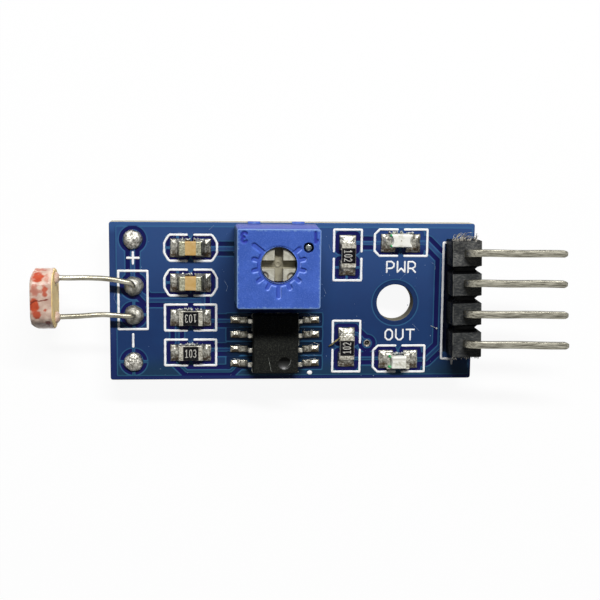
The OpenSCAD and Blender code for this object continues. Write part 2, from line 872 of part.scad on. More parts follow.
module trimmer_solder() {
    color(SOLDER)
    for (p = TRIMMER_PINS)
        translate([trimmer_x + p.x, trimmer_y + p.y, 0])
        difference() {
            solder_joint(trimmer_pin_hole_r, 0, 0, cone_foot_r, trimmer_pin_d / 2 + cone_tip_wall,
                tail_l * cone_climb);
            translate([0, 0, -tail_l - cut])
                cylinder(d = trimmer_pin_d + 2 * seat_gap, h = board_t + tail_l + 3 * cut);
        }
}

// Header: a strip of eight-sided blocks that pins stand in, bent over towards +X

strip_h = strip_w;
notch_x = 0.43;
notch_y = 0.34;
groove_depth = 0.7;
groove_floor = 0.36;
strip_end = 0.05;
pin_bend_r = 0.75;
pin_tip = 0.3;
pin_end_share = 0.45;
header_cone_margin = 0.387;
header_cone_tip = 0.72;
arm_z = board_t + strip_h + pin_rise;

// The strip's outline: a rectangle with a notch in both sides between each pair of pins
module strip_outline() {
    l = pin_count * pin_pitch - 2 * strip_end;
    difference() {
        square([strip_w, l], center = true);
        for (k = [1 : pin_count - 1], s = [-1, 1])
            translate([s * strip_w / 2, (pin_count / 2 - k) * pin_pitch])
                polygon([[0, -notch_y], [-s * notch_x, 0], [0, notch_y],
                    [s * cut, notch_y], [s * cut, -notch_y]]);
    }
}

// The steep groove across the strip's upper and lower faces where two blocks break apart,
// drawn to both sides of the face
module break_groove() {
    floor_half = groove_floor / 2;
    polygon([
        [-notch_y, 0], [-floor_half, -groove_depth], [floor_half, -groove_depth],
        [notch_y, 0], [floor_half, groove_depth], [-floor_half, groove_depth]
    ]);
}

module header_strip() {
    color([0.10, 0.10, 0.11])
    translate([header_x, header_y, board_t])
    difference() {
        linear_extrude(strip_h) strip_outline();
        for (k = [1 : pin_count - 1], z = [0, strip_h])
            translate([0, (pin_count / 2 - k) * pin_pitch, z]) rotate([90, 0, 90])
                linear_extrude(strip_w + cut, center = true) break_groove();
        for (y = PIN_ROWS)
            translate([0, y - header_y, strip_h / 2])
                cube([pin_w + 2 * seat_gap, pin_w + 2 * seat_gap, strip_h + cut], center = true);
    }
}

// One pin: a straight leg through board and strip, a quarter turn, and an arm with a chamfered tip
module header_pin(k) {
    color(TIN)
    translate([header_x, PIN_ROWS[k - 1], 0]) {
        translate([-pin_w / 2, -pin_w / 2, -tail_l]) cube([pin_w, pin_w, tail_l + arm_z - pin_bend_r]);
        translate([pin_bend_r, 0, arm_z - pin_bend_r]) rotate([90, 0, 180])
            rotate_extrude(angle = 90, $fn = 64)
                translate([pin_bend_r, 0]) square(pin_w, center = true);
        translate([pin_bend_r, 0, arm_z]) header_pin_arm(strip_w / 2 + pin_reach - pin_bend_r);
    }
}

// The arm, with its last stretch narrowed on all four sides
module header_pin_arm(l) {
    half = pin_w / 2;
    end = half * pin_end_share;
    side = [[0, -half], [l - pin_tip, -half], [l, -end], [l, end], [l - pin_tip, half], [0, half]];
    intersection() {
        linear_extrude(pin_w, center = true) polygon(side);
        rotate([90, 0, 0]) linear_extrude(pin_w, center = true) polygon(side);
    }
}

module header_solder() {
    foot_r = pin_hole_r + header_cone_margin;
    color(SOLDER)
    for (y = PIN_ROWS)
        translate([header_x, y, 0])
        difference() {
            solder_joint(pin_hole_r, 0, 0, foot_r, pin_w * header_cone_tip, tail_l * cone_climb);
            cube([pin_w + 2 * seat_gap, pin_w + 2 * seat_gap, 2 * (board_t + tail_l + cut)], center = true);
        }
}

circuit_board();
pad_solder(1);  // plus_pad_solder
pad_solder(-1);  // minus_pad_solder
photoresistor_disc();
photoresistor_track();
photoresistor_electrodes();
photoresistor_coat();
photoresistor_lead(1);  // photoresistor_lead_upper
photoresistor_lead(-1);  // photoresistor_lead_lower
photoresistor_solder();
capacitor_body(COLUMN[0]);  // capacitor_1_body
capacitor_terminals(COLUMN[0]);  // capacitor_1_terminals
capacitor_body(COLUMN[1]);  // capacitor_2_body
capacitor_terminals(COLUMN[1]);  // capacitor_2_terminals
capacitor_solder();
resistor_substrate(COLUMN[2], 0);  // resistor_1_substrate
resistor_overcoat(COLUMN[2], 0);  // resistor_1_overcoat
resistor_terminals(COLUMN[2], 0);  // resistor_1_terminals
resistor_substrate(COLUMN[3], 0);  // resistor_2_substrate
resistor_overcoat(COLUMN[3], 0);  // resistor_2_overcoat
resistor_terminals(COLUMN[3], 0);  // resistor_2_terminals
resistor_substrate(SERIES[0], SERIES_TURN);  // resistor_3_substrate
resistor_overcoat(SERIES[0], SERIES_TURN);  // resistor_3_overcoat
resistor_terminals(SERIES[0], SERIES_TURN);  // resistor_3_terminals
resistor_substrate(SERIES[1], SERIES_TURN);  // resistor_4_substrate
resistor_overcoat(SERIES[1], SERIES_TURN);  // resistor_4_overcoat
resistor_terminals(SERIES[1], SERIES_TURN);  // resistor_4_terminals
resistor_solder();
light_base(LIGHTS[0], 0);  // power_light_base
light_die(LIGHTS[0], 0);  // power_light_die
light_lens(LIGHTS[0], 0);  // power_light_lens
light_terminals(LIGHTS[0], 0);  // power_light_terminals
light_base(LIGHTS[1], 0);  // output_light_base
light_die(LIGHTS[1], 0);  // output_light_die
light_lens(LIGHTS[1], 0);  // output_light_lens
light_terminals(LIGHTS[1], 0);  // output_light_terminals
light_solder();
comparator_body();
comparator_leads();
comparator_solder();
trimmer_housing();
trimmer_rotor();
trimmer_wiper();
trimmer_element();
trimmer_track();
trimmer_seal();
trimmer_potting();
trimmer_stud();
trimmer_pin(1);  // trimmer_pin_1
trimmer_pin(2);  // trimmer_pin_2
trimmer_pin(3);  // trimmer_pin_3
trimmer_solder();
header_strip();
header_pin(1);  // header_pin_1
header_pin(2);  // header_pin_2
header_pin(3);  // header_pin_3
header_pin(4);  // header_pin_4
header_solder();
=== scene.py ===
"""The light sensor module, dressed piece by piece in the order in which it is put together.
Sizes are in millimetres and become metres where a mesh is made. The origin is the centre of
the mounting hole on the board's underside, with +X towards the pins and +Z up."""
import math

import bmesh
import bpy
import numpy as np
from mathutils import Matrix, Vector
from mathutils.geometry import delaunay_2d_cdt


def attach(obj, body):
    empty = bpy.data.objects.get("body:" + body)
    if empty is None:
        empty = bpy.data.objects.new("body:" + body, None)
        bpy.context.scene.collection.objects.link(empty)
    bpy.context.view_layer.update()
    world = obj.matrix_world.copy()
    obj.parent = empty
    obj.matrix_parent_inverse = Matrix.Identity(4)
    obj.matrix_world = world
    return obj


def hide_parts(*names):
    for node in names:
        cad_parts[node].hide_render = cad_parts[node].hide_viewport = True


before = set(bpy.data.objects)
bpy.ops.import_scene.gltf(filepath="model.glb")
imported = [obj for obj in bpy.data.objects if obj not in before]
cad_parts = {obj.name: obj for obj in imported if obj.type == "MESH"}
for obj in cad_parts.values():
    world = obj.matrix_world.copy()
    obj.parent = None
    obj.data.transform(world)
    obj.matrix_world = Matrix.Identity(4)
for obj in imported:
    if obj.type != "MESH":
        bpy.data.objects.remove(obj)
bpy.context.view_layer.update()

MM = 0.001

# ---------------------------------------------------------------- studio
# The camera stands high over the board, a little to its upper side, as in the photograph.
# A long soft lamp beyond the upper edge gives the modelling, and one overhead fills in.
camera_at, camera_tilt = (-16.18, 13.38, 94.87), (0.14, 0.083)
focus_px, picture_px = 1088.4, 600
camera_data = bpy.data.cameras.new("camera")
camera_data.sensor_width = 36.0
camera_data.lens = focus_px / picture_px * camera_data.sensor_width
camera_data.clip_start, camera_data.clip_end = 0.001, 20
camera = bpy.data.objects.new("camera", camera_data)
tilted = Matrix.Rotation(camera_tilt[1], 3, "Y") @ Matrix.Rotation(camera_tilt[0], 3, "X")
camera.matrix_world = Matrix.Translation(Vector(camera_at) * MM) @ tilted.transposed().to_4x4()
bpy.context.collection.objects.link(camera)
bpy.context.scene.camera = camera
bpy.context.scene.view_settings.view_transform = "Standard"


def soft_lamp(name, at, size, watts, aim=(-8, 0, 2)):
    """A rectangular lamp at a point in millimetres, turned to face the aim. Its size is in metres."""
    data = bpy.data.lights.new(name, "AREA")
    data.shape = "RECTANGLE"
    data.size, data.size_y = size
    data.energy = watts
    lamp = bpy.data.objects.new(name, data)
    lamp.location = Vector(at) * MM
    lamp.rotation_euler = (Vector(aim) - Vector(at)).to_track_quat("-Z", "Y").to_euler()
    bpy.context.collection.objects.link(lamp)


soft_lamp("key", (35, 275, 300), (0.32, 0.028), 2.10)
soft_lamp("fill", (190, 90, 430), (0.22, 0.22), 0.07)


def seen_directly(tree):
    """1 for a ray from the camera, off a shine or through glass, and 0 for any other."""
    ray = tree.nodes.new("ShaderNodeLightPath")
    found = ray.outputs["Is Camera Ray"]
    for kind in ("Is Glossy Ray", "Is Transmission Ray"):
        either = tree.nodes.new("ShaderNodeMath")
        either.operation = "MAXIMUM"
        tree.links.new(found, either.inputs[0])
        tree.links.new(ray.outputs[kind], either.inputs[1])
        found = either.outputs[0]
    return found


def grey_shader(tree, kind, tone, strength=None):
    """A shader node of one grey tone."""
    node = tree.nodes.new(kind)
    node.inputs["Color"].default_value = (tone, tone, tone, 1)
    if strength is not None:
        node.inputs["Strength"].default_value = strength
    return node.outputs[0]


def either_shader(tree, share, first, second):
    """The first shader where share is 0 and the second where it is 1."""
    node = tree.nodes.new("ShaderNodeMixShader")
    if isinstance(share, float):
        node.inputs[0].default_value = share
    else:
        tree.links.new(share, node.inputs[0])
    tree.links.new(first, node.inputs[1])
    tree.links.new(second, node.inputs[2])
    return node.outputs[0]


world = bpy.data.worlds.new("studio")
world.use_nodes = True
bpy.context.scene.world = world
sky = world.node_tree
sky.nodes.clear()
around = grey_shader(sky, "ShaderNodeBackground", 1, 0.02)
white = grey_shader(sky, "ShaderNodeBackground", 1, 1.0)
sky.links.new(either_shader(sky, seen_directly(sky), around, white),
              sky.nodes.new("ShaderNodeOutputWorld").inputs["Surface"])

# The floor is a broad white table just under the trimmed leads. It stays white to the eye and
# keeps a light shadow of the module.
floor_z, floor_reach, floor_shadow = -1.25, 900.0, 0.07
floor_mesh = bpy.data.meshes.new("floor")
floor_mesh.from_pydata([(x * floor_reach * MM, y * floor_reach * MM, floor_z * MM)
                        for x, y in ((-1, -1), (1, -1), (1, 1), (-1, 1))], [], [(0, 1, 2, 3)])
floor = bpy.data.objects.new("floor", floor_mesh)
bpy.context.collection.objects.link(floor)
floor_paint = bpy.data.materials.new("floor_white")
floor_paint.use_nodes = True
table = floor_paint.node_tree
table.nodes.clear()
lit = either_shader(table, 1 - floor_shadow, grey_shader(table, "ShaderNodeBsdfDiffuse", 1),
                    grey_shader(table, "ShaderNodeEmission", 1, 1.0))
matt = grey_shader(table, "ShaderNodeBsdfDiffuse", 0.8)
table.links.new(either_shader(table, seen_directly(table), matt, lit),
                table.nodes.new("ShaderNodeOutputMaterial").inputs["Surface"])
floor_mesh.materials.append(floor_paint)


# ---------------------------------------------------------------- circuit board
# A glass-fibre laminate with blue solder mask over its copper. The copper is a ground pour
# with tracks and pads cut free of it, so the mask stands up over copper and sinks in the gaps.
board_x, board_y = (-24.7, 6.9), (-6.75, 6.95)
board_t, board_round, hole_r = 1.6, 0.20, 1.6


def sheen(colour):
    """An 8-bit screen colour such as "2e5288" as linear light."""
    value = np.array([int(colour[k:k + 2], 16) for k in (0, 2, 4)]) / 255.0
    return tuple(np.where(value <= 0.04045, value / 12.92, ((value + 0.055) / 1.055) ** 2.4))


class Finish:
    """A material whose one shader is fed by small recipes of nodes. Sizes and places are in
    millimetres, and colours are screen colours such as "2e5288" or a node's output."""

    def __init__(self, name, rough=0.5, metal=0.0, **sockets):
        self.material = bpy.data.materials.new(name)
        self.material.use_nodes = True
        self.tree = self.material.node_tree
        self.shader = self.tree.nodes["Principled BSDF"]
        self.place = self.add("TexCoord", {})["Object"]
        self.set("Base Color", (0.5, 0.5, 0.5))
        for socket, value in {"Roughness": rough, "Metallic": metal, **sockets}.items():
            self.set(socket.replace("_", " "), value)

    def put(self, node, socket, value):
        """Sets a socket of a node to a number, a colour or another node's output."""
        if isinstance(value, str):
            value = sheen(value)
        if isinstance(value, bpy.types.NodeSocket):
            self.tree.links.new(value, node.inputs[socket])
        else:
            node.inputs[socket].default_value = (*value, 1) if isinstance(value, tuple) else value

    def set(self, socket, value):
        """Sets the shader's own socket."""
        self.put(self.shader, socket, value)

    def add(self, kind, sockets, **settings):
        """The outputs of a new node with its settings made and its sockets fed."""
        node = self.tree.nodes.new("ShaderNode" + kind)
        for key, setting in settings.items():
            setattr(node, key, setting)
        for socket, value in sockets.items():
            self.put(node, socket, value)
        return node.outputs

    def grain(self, size, detail=3.0, rough=0.55, stretch=(1, 1, 1), warp=0.0):
        """Noise from 0 to 1 with features about `size` across, drawn out along each axis by `stretch`."""
        at = self.add("Mapping", {"Vector": self.place, "Scale": [1 / k for k in stretch]})[0]
        return self.add("TexNoise", {"Vector": at, "Scale": 1 / (size * MM), "Detail": detail,
                                     "Roughness": rough, "Distortion": warp})["Fac"]

    def scatter(self, apart):
        """Distance to the nearest of scattered points, as a share of how far they lie apart."""
        return self.add("TexVoronoi", {"Vector": self.place, "Scale": 1 / (apart * MM)})["Distance"]

    def value(self, name):
        """A number kept at the mesh's points."""
        return self.add("Attribute", {}, attribute_name=name)["Fac"]

    def axis(self, which):
        """The place along one axis, in metres."""
        return self.add("SeparateXYZ", {0: self.place})[which]

    def facing(self, which):
        """How far the surface faces along one axis, from -1 to 1."""
        return self.add("SeparateXYZ", {0: self.add("NewGeometry", {})["Normal"]})[which]

    def ramp(self, value, low, high, out_low=0.0, out_high=1.0, how="SMOOTHSTEP"):
        """`value` between low and high becomes out_low to out_high, held level outside."""
        return self.add("MapRange", {0: value, 1: low, 2: high, 3: out_low, 4: out_high},
                        interpolation_type=how, clamp=True)[0]

    def along(self, which, low, high, out_low=0.0, out_high=1.0):
        """A ramp between two places on an axis."""
        return self.ramp(self.axis(which), low * MM, high * MM, out_low, out_high)

    def window(self, value, a, b, c, d):
        """Rises from 0 to 1 where the value goes from a to b, and falls back from c to d."""
        return self.times(self.ramp(value, a, b), self.ramp(value, c, d, 1, 0))

    def zone(self, which, *places):
        """A window of four places on an axis."""
        return self.window(self.axis(which), *[place * MM for place in places])

    def joined(self, how, first, *others):
        """Values joined one after another by a Math operation."""
        for other in others:
            first = self.add("Math", {0: first, 1: other}, operation=how)[0]
        return first

    def times(self, *values):
        """Values multiplied."""
        return self.joined("MULTIPLY", *values)

    def plus(self, *values):
        """Values added."""
        return self.joined("ADD", *values)

    def most(self, *values):
        """The greatest of some values."""
        return self.joined("MAXIMUM", *values)

    def blend(self, share, first, second):
        """The first colour where share is 0 and the second where it is 1."""
        return self.add("Mix", {0: share, 6: first, 7: second}, data_type="RGBA")[2]

    def layers(self, colour, *coats):
        """A colour with (share, colour) coats laid over it in turn."""
        for share, over in coats:
            colour = self.blend(share, colour, over)
        return colour

    def paint(self, colour, *coats):
        """Sets the base colour to a colour under its coats."""
        self.set("Base Color", self.layers(colour, *coats))

    def bump(self, height, depth):
        """Tilts the surface as if `height` times `depth` millimetres lay on it."""
        self.set("Normal", self.add("Bump", {"Height": height, "Distance": depth * MM})[0])


def two_tone(name, low, high, grain, edge=None, bump=None, **sockets):
    """A finish in patches of two colours that follow a grain, parted more sharply where `edge`
    gives two levels of it. `bump` is the size, the detail and the depth of what stands on it."""
    made = Finish(name, **sockets)
    share = made.grain(*grain)
    made.paint(made.blend(made.ramp(share, *edge) if edge else share, low, high))
    if bump:
        made.bump(made.grain(*bump[:2]), bump[2])
    return made


def join(*parts):
    """Several (points, faces) as one; what else a part holds is left out."""
    points, faces, count = [], [], 0
    for part_points, part_faces, *_ in parts:
        points.append(np.asarray(part_points, float))
        faces += [[int(v) + count for v in face] for face in part_faces]
        count += len(part_points)
    return np.vstack(points), faces


def make_piece(name, parts, finish, stands_for=(), values=None, body="module"):
    """A mesh joined from (points, faces) parts in millimetres, riding on a body. `values` are
    numbers kept at its points: an array for the first points, and a number for the rest."""
    points, faces = join(*parts)
    mesh = bpy.data.meshes.new(name)
    mesh.from_pydata((points * MM).tolist(), [], faces)
    for key, (numbers, rest) in (values or {}).items():
        filled = np.full(len(points), rest, np.float32)
        filled[:len(numbers)] = numbers
        mesh.attributes.new(key, "FLOAT", "POINT").data.foreach_set("value", filled)
    welded = bmesh.new()
    welded.from_mesh(mesh)
    bmesh.ops.remove_doubles(welded, verts=welded.verts, dist=1e-8)
    bmesh.ops.recalc_face_normals(welded, faces=welded.faces)
    welded.to_mesh(mesh)
    welded.free()
    mesh.shade_smooth()
    mesh.materials.append(finish.material)
    made = bpy.data.objects.new(name, mesh)
    bpy.context.collection.objects.link(made)
    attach(made, body)
    if stands_for:
        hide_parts(*stands_for)


def quads(index):
    """The four-cornered faces between the numbers of a grid of points."""
    return np.stack([index[:-1, :-1], index[:-1, 1:], index[1:, 1:], index[1:, :-1]], -1).reshape(-1, 4)


def grid_faces(rows, cols, wrap=False, first=0):
    """The quads of a grid of points kept row by row; `wrap` joins the last column to the first."""
    index = first + np.arange(rows * cols).reshape(rows, cols)
    return quads(np.hstack([index, index[:, :1]]) if wrap else index)


def tube_faces(rows, cols):
    """The quads of a closed tube of points, and a flat face over each of its ends."""
    last = rows * cols
    ends = [list(range(cols - 1, -1, -1)), list(range(last - cols, last))]
    return grid_faces(rows, cols, wrap=True).tolist() + ends


def border(index):
    """The outer loop of a grid of numbers, in order."""
    return np.concatenate([index[:-1, 0], index[-1, :-1], index[:0:-1, -1], index[0, :0:-1]])


def circle(at, r, turn, z):
    """Points at some angles round a place, r from it and at height z."""
    return np.column_stack([at[0] + r * np.cos(turn), at[1] + r * np.sin(turn), np.broadcast_to(z, turn.shape)])


def eased(share):
    """A share held between 0 and 1 that starts and ends level: 3 s^2 - 2 s^3."""
    share = np.clip(share, 0, 1)
    return share * share * (3 - 2 * share)


def plate(x, y, step, holes=()):
    """A rectangle cut into squares about `step` wide. Round each hole (x, y, radius) a square of
    cells makes way for rings that run from the square's edge to the circle in even steps.
    Returns the flat points, the faces, the outer edge and each hole's edge as rows of points."""
    nx, ny = round((x[1] - x[0]) / step), round((y[1] - y[0]) / step)
    gx, gy = np.meshgrid(np.linspace(*x, nx + 1), np.linspace(*y, ny + 1), indexing="ij")
    points = [np.stack([gx.ravel(), gy.ravel()], 1)]
    index = np.arange((nx + 1) * (ny + 1)).reshape(nx + 1, ny + 1)
    keep = np.ones((nx, ny), bool)
    rings, edges, count = [], [], len(points[0])
    dx, dy = (x[1] - x[0]) / nx, (y[1] - y[0]) / ny
    for hx, hy, r in holes:
        reach = r + max(3.5 * step, 0.22 * r)
        i0, i1 = (round((hx + way * reach - x[0]) / dx) for way in (-1, 1))
        j0, j1 = (round((hy + way * reach - y[0]) / dy) for way in (-1, 1))
        keep[i0:i1, j0:j1] = False
        ring = border(index[i0:i1 + 1, j0:j1 + 1])
        square = points[0][ring]
        turn = np.arctan2(square[:, 1] - hy, square[:, 0] - hx)
        steps = max(3, round((reach - r) * 1.2 / step))
        t = (np.arange(1, steps + 1) / steps)[:, None, None]
        points.append((square * (1 - t) + circle((hx, hy), r, turn, 0)[:, :2] * t).reshape(-1, 2))
        ring = np.vstack([ring, count + np.arange(steps * len(ring)).reshape(steps, -1)])
        rings.append(quads(np.hstack([ring, ring[:, :1]])))
        edges.append(ring[-1])
        count += steps * ring.shape[1]
    cells = np.stack([index[:-1, :-1], index[1:, :-1], index[1:, 1:], index[:-1, 1:]], -1)[keep]
    return np.vstack(points), np.vstack([cells] + rings), border(index), edges


def round_corners(flat, x, y, r):
    """Draws the corners of a rectangle of points in to arcs: within a corner square of side r
    each point moves towards the arc's centre until the square's edge lies on the arc."""
    centre = np.stack([np.clip(flat[:, 0], x[0] + r, x[1] - r), np.clip(flat[:, 1], y[0] + r, y[1] - r)], 1)
    off = flat - centre
    far = np.hypot(*off.T)
    return centre + off * np.where(far > 0, np.abs(off).max(1) / np.maximum(far, 1e-9), 1)[:, None]


def outward(loop):
    """Unit vectors that point away from the inside of a closed row of flat points."""
    along = np.roll(loop, -1, 0) - np.roll(loop, 1, 0)
    out = np.stack([along[:, 1], -along[:, 0]], 1)
    out /= np.maximum(np.hypot(*out.T), 1e-9)[:, None]
    x, y = loop.T
    area = np.sum(x * np.roll(y, -1) - y * np.roll(x, -1))
    return out if area > 0 else -out


def walls(loop, z, profile):
    """Carries a closed row of flat points at height z along a profile of (outward, height) steps
    from it. Returns rows of points, one for each step, their faces and the last row."""
    out = outward(loop)
    rows = [np.column_stack([loop + out * step, np.broadcast_to(z + rise, len(loop))]) for step, rise in profile]
    return np.vstack(rows), grid_faces(len(profile), len(loop), wrap=True), rows[-1]


def inside(spot, loops):
    """True if the spot lies in the first row of points and in none of the others: a ray to +X
    crosses the rows an odd number of times in all."""
    hits = 0
    for loop in loops:
        a, b = loop[:, :2], np.roll(loop[:, :2], -1, 0)
        over = (a[:, 1] > spot[1]) != (b[:, 1] > spot[1])
        cross = a[:, 0] + (spot[1] - a[:, 1]) * (b[:, 0] - a[:, 0]) / np.where(over, b[:, 1] - a[:, 1], 1)
        hits += int(np.sum(over & (cross > spot[0])))
    return hits % 2 == 1


def lid(*loops):
    """Fills the flat room inside the first closed row of points and outside the others with
    triangles. All rows lie at one height."""
    points, edges, start = np.vstack(loops), [], 0
    for loop in loops:
        index = start + np.arange(len(loop))
        edges += np.column_stack([index, np.roll(index, -1)]).tolist()
        start += len(loop)
    found = delaunay_2d_cdt([Vector(p[:2]) for p in points], edges, [], 0, 1e-7)
    flat = np.array([tuple(v) for v in found[0]])
    faces = [f for f in found[2] if inside(flat[list(f)].mean(0), loops)]
    return np.column_stack([flat, np.full(len(flat), points[0, 2])]), faces


def from_line(flat, path, width):
    """Distance from each point to a line with round ends, less half its width."""
    best = np.full(len(flat), 1e9)
    for a, b in zip(np.array(path[:-1], float), np.array(path[1:], float)):
        along = b - a
        t = np.clip((flat - a) @ along / max(along @ along, 1e-12), 0, 1)
        best = np.minimum(best, np.hypot(*(flat - a - t[:, None] * along).T))
    return best - width / 2


def from_box(flat, x, y, r=0.05):
    """Distance from each point to a rectangle with corners of radius r; negative inside."""
    centre = np.array([(x[0] + x[1]) / 2, (y[0] + y[1]) / 2])
    half = np.array([(x[1] - x[0]) / 2, (y[1] - y[0]) / 2]) - r
    off = np.abs(flat - centre) - half
    return np.hypot(*np.maximum(off, 0).T) + np.minimum(off.max(1), 0) - r


def from_disc(flat, at, r):
    """Distance from each point to a disc; negative inside."""
    return np.hypot(flat[:, 0] - at[0], flat[:, 1] - at[1]) - r


def closest(distances):
    """The least of some distances at each point, and at most 9 mm."""
    return np.minimum.reduce(list(distances), initial=9.0)


def ripple(points, size, seed=0, octaves=2):
    """Smooth bumps between -1 and 1, about `size` across: sums of sine waves that cross each
    other at turned angles, with finer and lower ones on top."""
    points = np.asarray(points, float)
    total = np.zeros(len(points))
    for octave in range(octaves):
        for k in range(4):
            turn = seed * 1.7 + 2.4 * k + 0.9 * octave
            slope = np.array([math.cos(turn), math.sin(turn), math.sin(turn * 1.9 + 1)])[:points.shape[1]]
            wave = 2 * math.pi * (1.7 ** octave) * (0.8 + 0.13 * k) / (2.2 * size)
            total += np.sin(points @ slope * wave + seed * (3.1 + k) + 1.3 * k) / (4 * 1.6 ** octave)
    return total


# Where the joints, the chips, the comparator and the via stand, and how large their pads are
joints_at = ((-22.65, 1.45), (-22.65, -1.05))
bare_pads_at = ((-22.70, 5.45), (-22.70, -5.15))
column_x, column_y = -17.79, (4.74, 1.74, -1.30, -4.36)
series_at = ((-4.26, 4.15), (-4.24, -3.92))
lights_at = ((0.36, 5.45), (0.36, -5.22))
light_pads_at = ((0.36, 5.23), (0.36, -5.00))
chip_pad, light_pad = (0.41, 1.76), (0.44, 1.74)
pad_w, wide_pad_w, round_pad_r = 1.48, 1.62, 0.84
comparator_at, comparator_rows, comparator_pad = (-10.5, -3.40), (-1.495, -2.765, -4.035, -5.305), (2.3, 3.9)
via_at, via_r = (-2.40, -3.60), 0.23


def chip_pads(at, upright, span=chip_pad, width=pad_w):
    """The two pads of a chip as (x range, y range), the left or lower one first."""
    boxes = []
    for side in (-1, 1):
        reach = [sorted((side * span[0], side * span[1])), (-width / 2, width / 2)]
        dx, dy = reach[::-1] if upright else reach
        boxes.append(((at[0] + dx[0], at[0] + dx[1]), (at[1] + dy[0], at[1] + dy[1])))
    return boxes


def bare_laminate(flat):
    """Distance from the rim of the copper pour: positive along the board's edges and in the ring
    round the mounting hole, where there is no copper at all."""
    return np.maximum(from_box(flat, (-24.15, 6.72), (-6.42, 6.62), 0.1), 2.0 - np.hypot(*flat.T))


def copper_gap(flat):
    """Positive where the copper is cut away, in millimetres from the nearest copper edge, and
    negative on copper. A net's pads and tracks are a distance s; its gap is where s lies between
    0 and the clearance. Spokes bridge the gap round the ground pads."""
    track_room, pad_room, lead_room = 0.40, 0.33, 0.24
    tracks = [
        ([(-22.72, 5.45), (-22.72, 1.5)], 0.42),
        ([(-22.65, 1.45), (-21.5, 0.28), (-21.35, 0.22), (-16.75, 0.22), (-16.75, 1.6)], 0.44),
        ([(-16.75, 0.3), (-16.75, -1.3)], 0.44),
        ([(-16.7, 4.68), (-14.0, 4.68), (-13.0, 4.2)], 0.44),
        ([(-16.7, -1.58), (-13.8, -1.58)], 0.36),
        ([(-18.95, -1.9), (-18.95, -3.7)], 0.40),
        ([(-16.7, -4.12), (-13.8, -4.12)], 0.36),
        ([(-18.9, -4.5), (-18.9, -5.25), (-18.15, -6.0), (-14.35, -6.0), (-13.8, -5.5)], 0.30),
        ([(-4.0, 5.22), (-0.8, 5.22)], 0.36),
        ([(-4.0, -4.95), (-0.8, -4.95)], 0.32),
        ([(-4.0, -2.6), (-3.3, -2.75), (-2.45, -3.55)], 0.34),
        ([(1.5, 5.25), (2.75, 5.25), (4.08, 3.95), (4.08, -3.85), (2.85, -5.05), (1.5, -5.05)], 0.42),
    ]
    signal = closest(from_line(flat, path, width) for path, width in tracks)
    gap = np.minimum(signal, track_room - signal)
    # Pads that have a net of their own, and pads tied to the ground pour
    widths = (wide_pad_w, wide_pad_w, pad_w, pad_w)
    columns = [chip_pads((column_x, y), False, width=width) for y, width in zip(column_y, widths)]
    series = [chip_pads(at, True) for at in series_at]
    own_boxes = [right for _, right in columns] + [left for left, _ in columns[2:]] + [series[0][1], *series[1]]
    own_boxes += [box for at in light_pads_at for box in chip_pads(at, False, light_pad, wide_pad_w)]
    own_discs = ((via_at, 0.45), (joints_at[0], round_pad_r), (bare_pads_at[0], round_pad_r))
    ground_boxes, ground_discs = [columns[0][0], columns[1][0], series[0][0]], (joints_at[1], bare_pads_at[1])
    own = closest([from_box(flat, *box) for box in own_boxes] + [from_disc(flat, *disc) for disc in own_discs])
    ground = closest([from_box(flat, *box) for box in ground_boxes]
                     + [from_disc(flat, at, round_pad_r) for at in ground_discs])
    # The comparator's pads keep a narrow gap, and outside the cleared strips a wide one
    feet = [(side, y) for y in comparator_rows for side in (-1, 1)]
    leads = closest(from_box(flat, sorted(comparator_at[0] + side * reach for reach in comparator_pad),
                             (y - 0.31, y + 0.31))
                    for side, y in feet)
    cleared = closest(from_box(flat, (-14.72, -12.2) if side < 0 else (-8.8, -6.38), (y - 0.57, y + 0.57))
                      for side, y in feet)
    spokes = [([at, (at[0] + dx, at[1] + dy)], 0.25) for at in ground_discs
              for dx, dy in ((1.4, 0), (-1.4, 0), (0, 1.4), (0, -1.4))]
    spokes += [([(-18.9, y), end], 0.22) for y in column_y[:2] for end in ((-20.3, y), (-18.9, y + 1.3))]
    spokes += [([(-5.5, 3.08), (-3.1, 3.08)], 0.2), ([(-4.3, 3.0), (-4.3, 1.9)], 0.2)]
    spoke = closest(from_line(flat, *bridge) for bridge in spokes)
    gap = np.maximum(gap, np.minimum(own, pad_room - own))
    gap = np.maximum(gap, np.minimum(leads, np.maximum(lead_room - leads, -cleared)))
    gap = np.maximum(gap, np.minimum(np.minimum(ground, pad_room - ground), spoke))
    # A net's own track runs straight into its own pad
    copper = np.minimum(np.minimum(signal, own), leads)
    gap = np.minimum(gap, np.where(copper < 0, copper, 9.0))
    return np.maximum(gap, bare_laminate(flat))


copper_h, edge_in = 0.035, 0.05
rim_x, rim_y = ((low + edge_in, high - edge_in) for low, high in (board_x, board_y))
flat, cells, outer, hole_edges = plate(rim_x, rim_y, 0.085,
                                       [(0, 0, hole_r + edge_in), (*via_at, via_r + 0.02)])
flat = round_corners(flat, rim_x, rim_y, board_round - edge_in)
gap = copper_gap(flat)
height = board_t - copper_h * eased(gap / 0.10 + 0.5)
height[np.concatenate([outer, *hole_edges])] = board_t - copper_h
side = [(0, -copper_h), (0.035, -copper_h - 0.012), (edge_in, -copper_h - 0.05), (edge_in, -1.2),
        (edge_in, -1.52), (0.035, -1.585), (0, -1.6)]
rings = [walls(flat[loop], board_t, [(way * out, rise) for out, rise in side])
         for loop, way in [(outer, 1)] + [(edge, -1) for edge in hole_edges]]
parts = [(np.column_stack([flat, height]), cells), *rings, lid(*[ring[2] for ring in rings])]
points, _ = join(*parts)

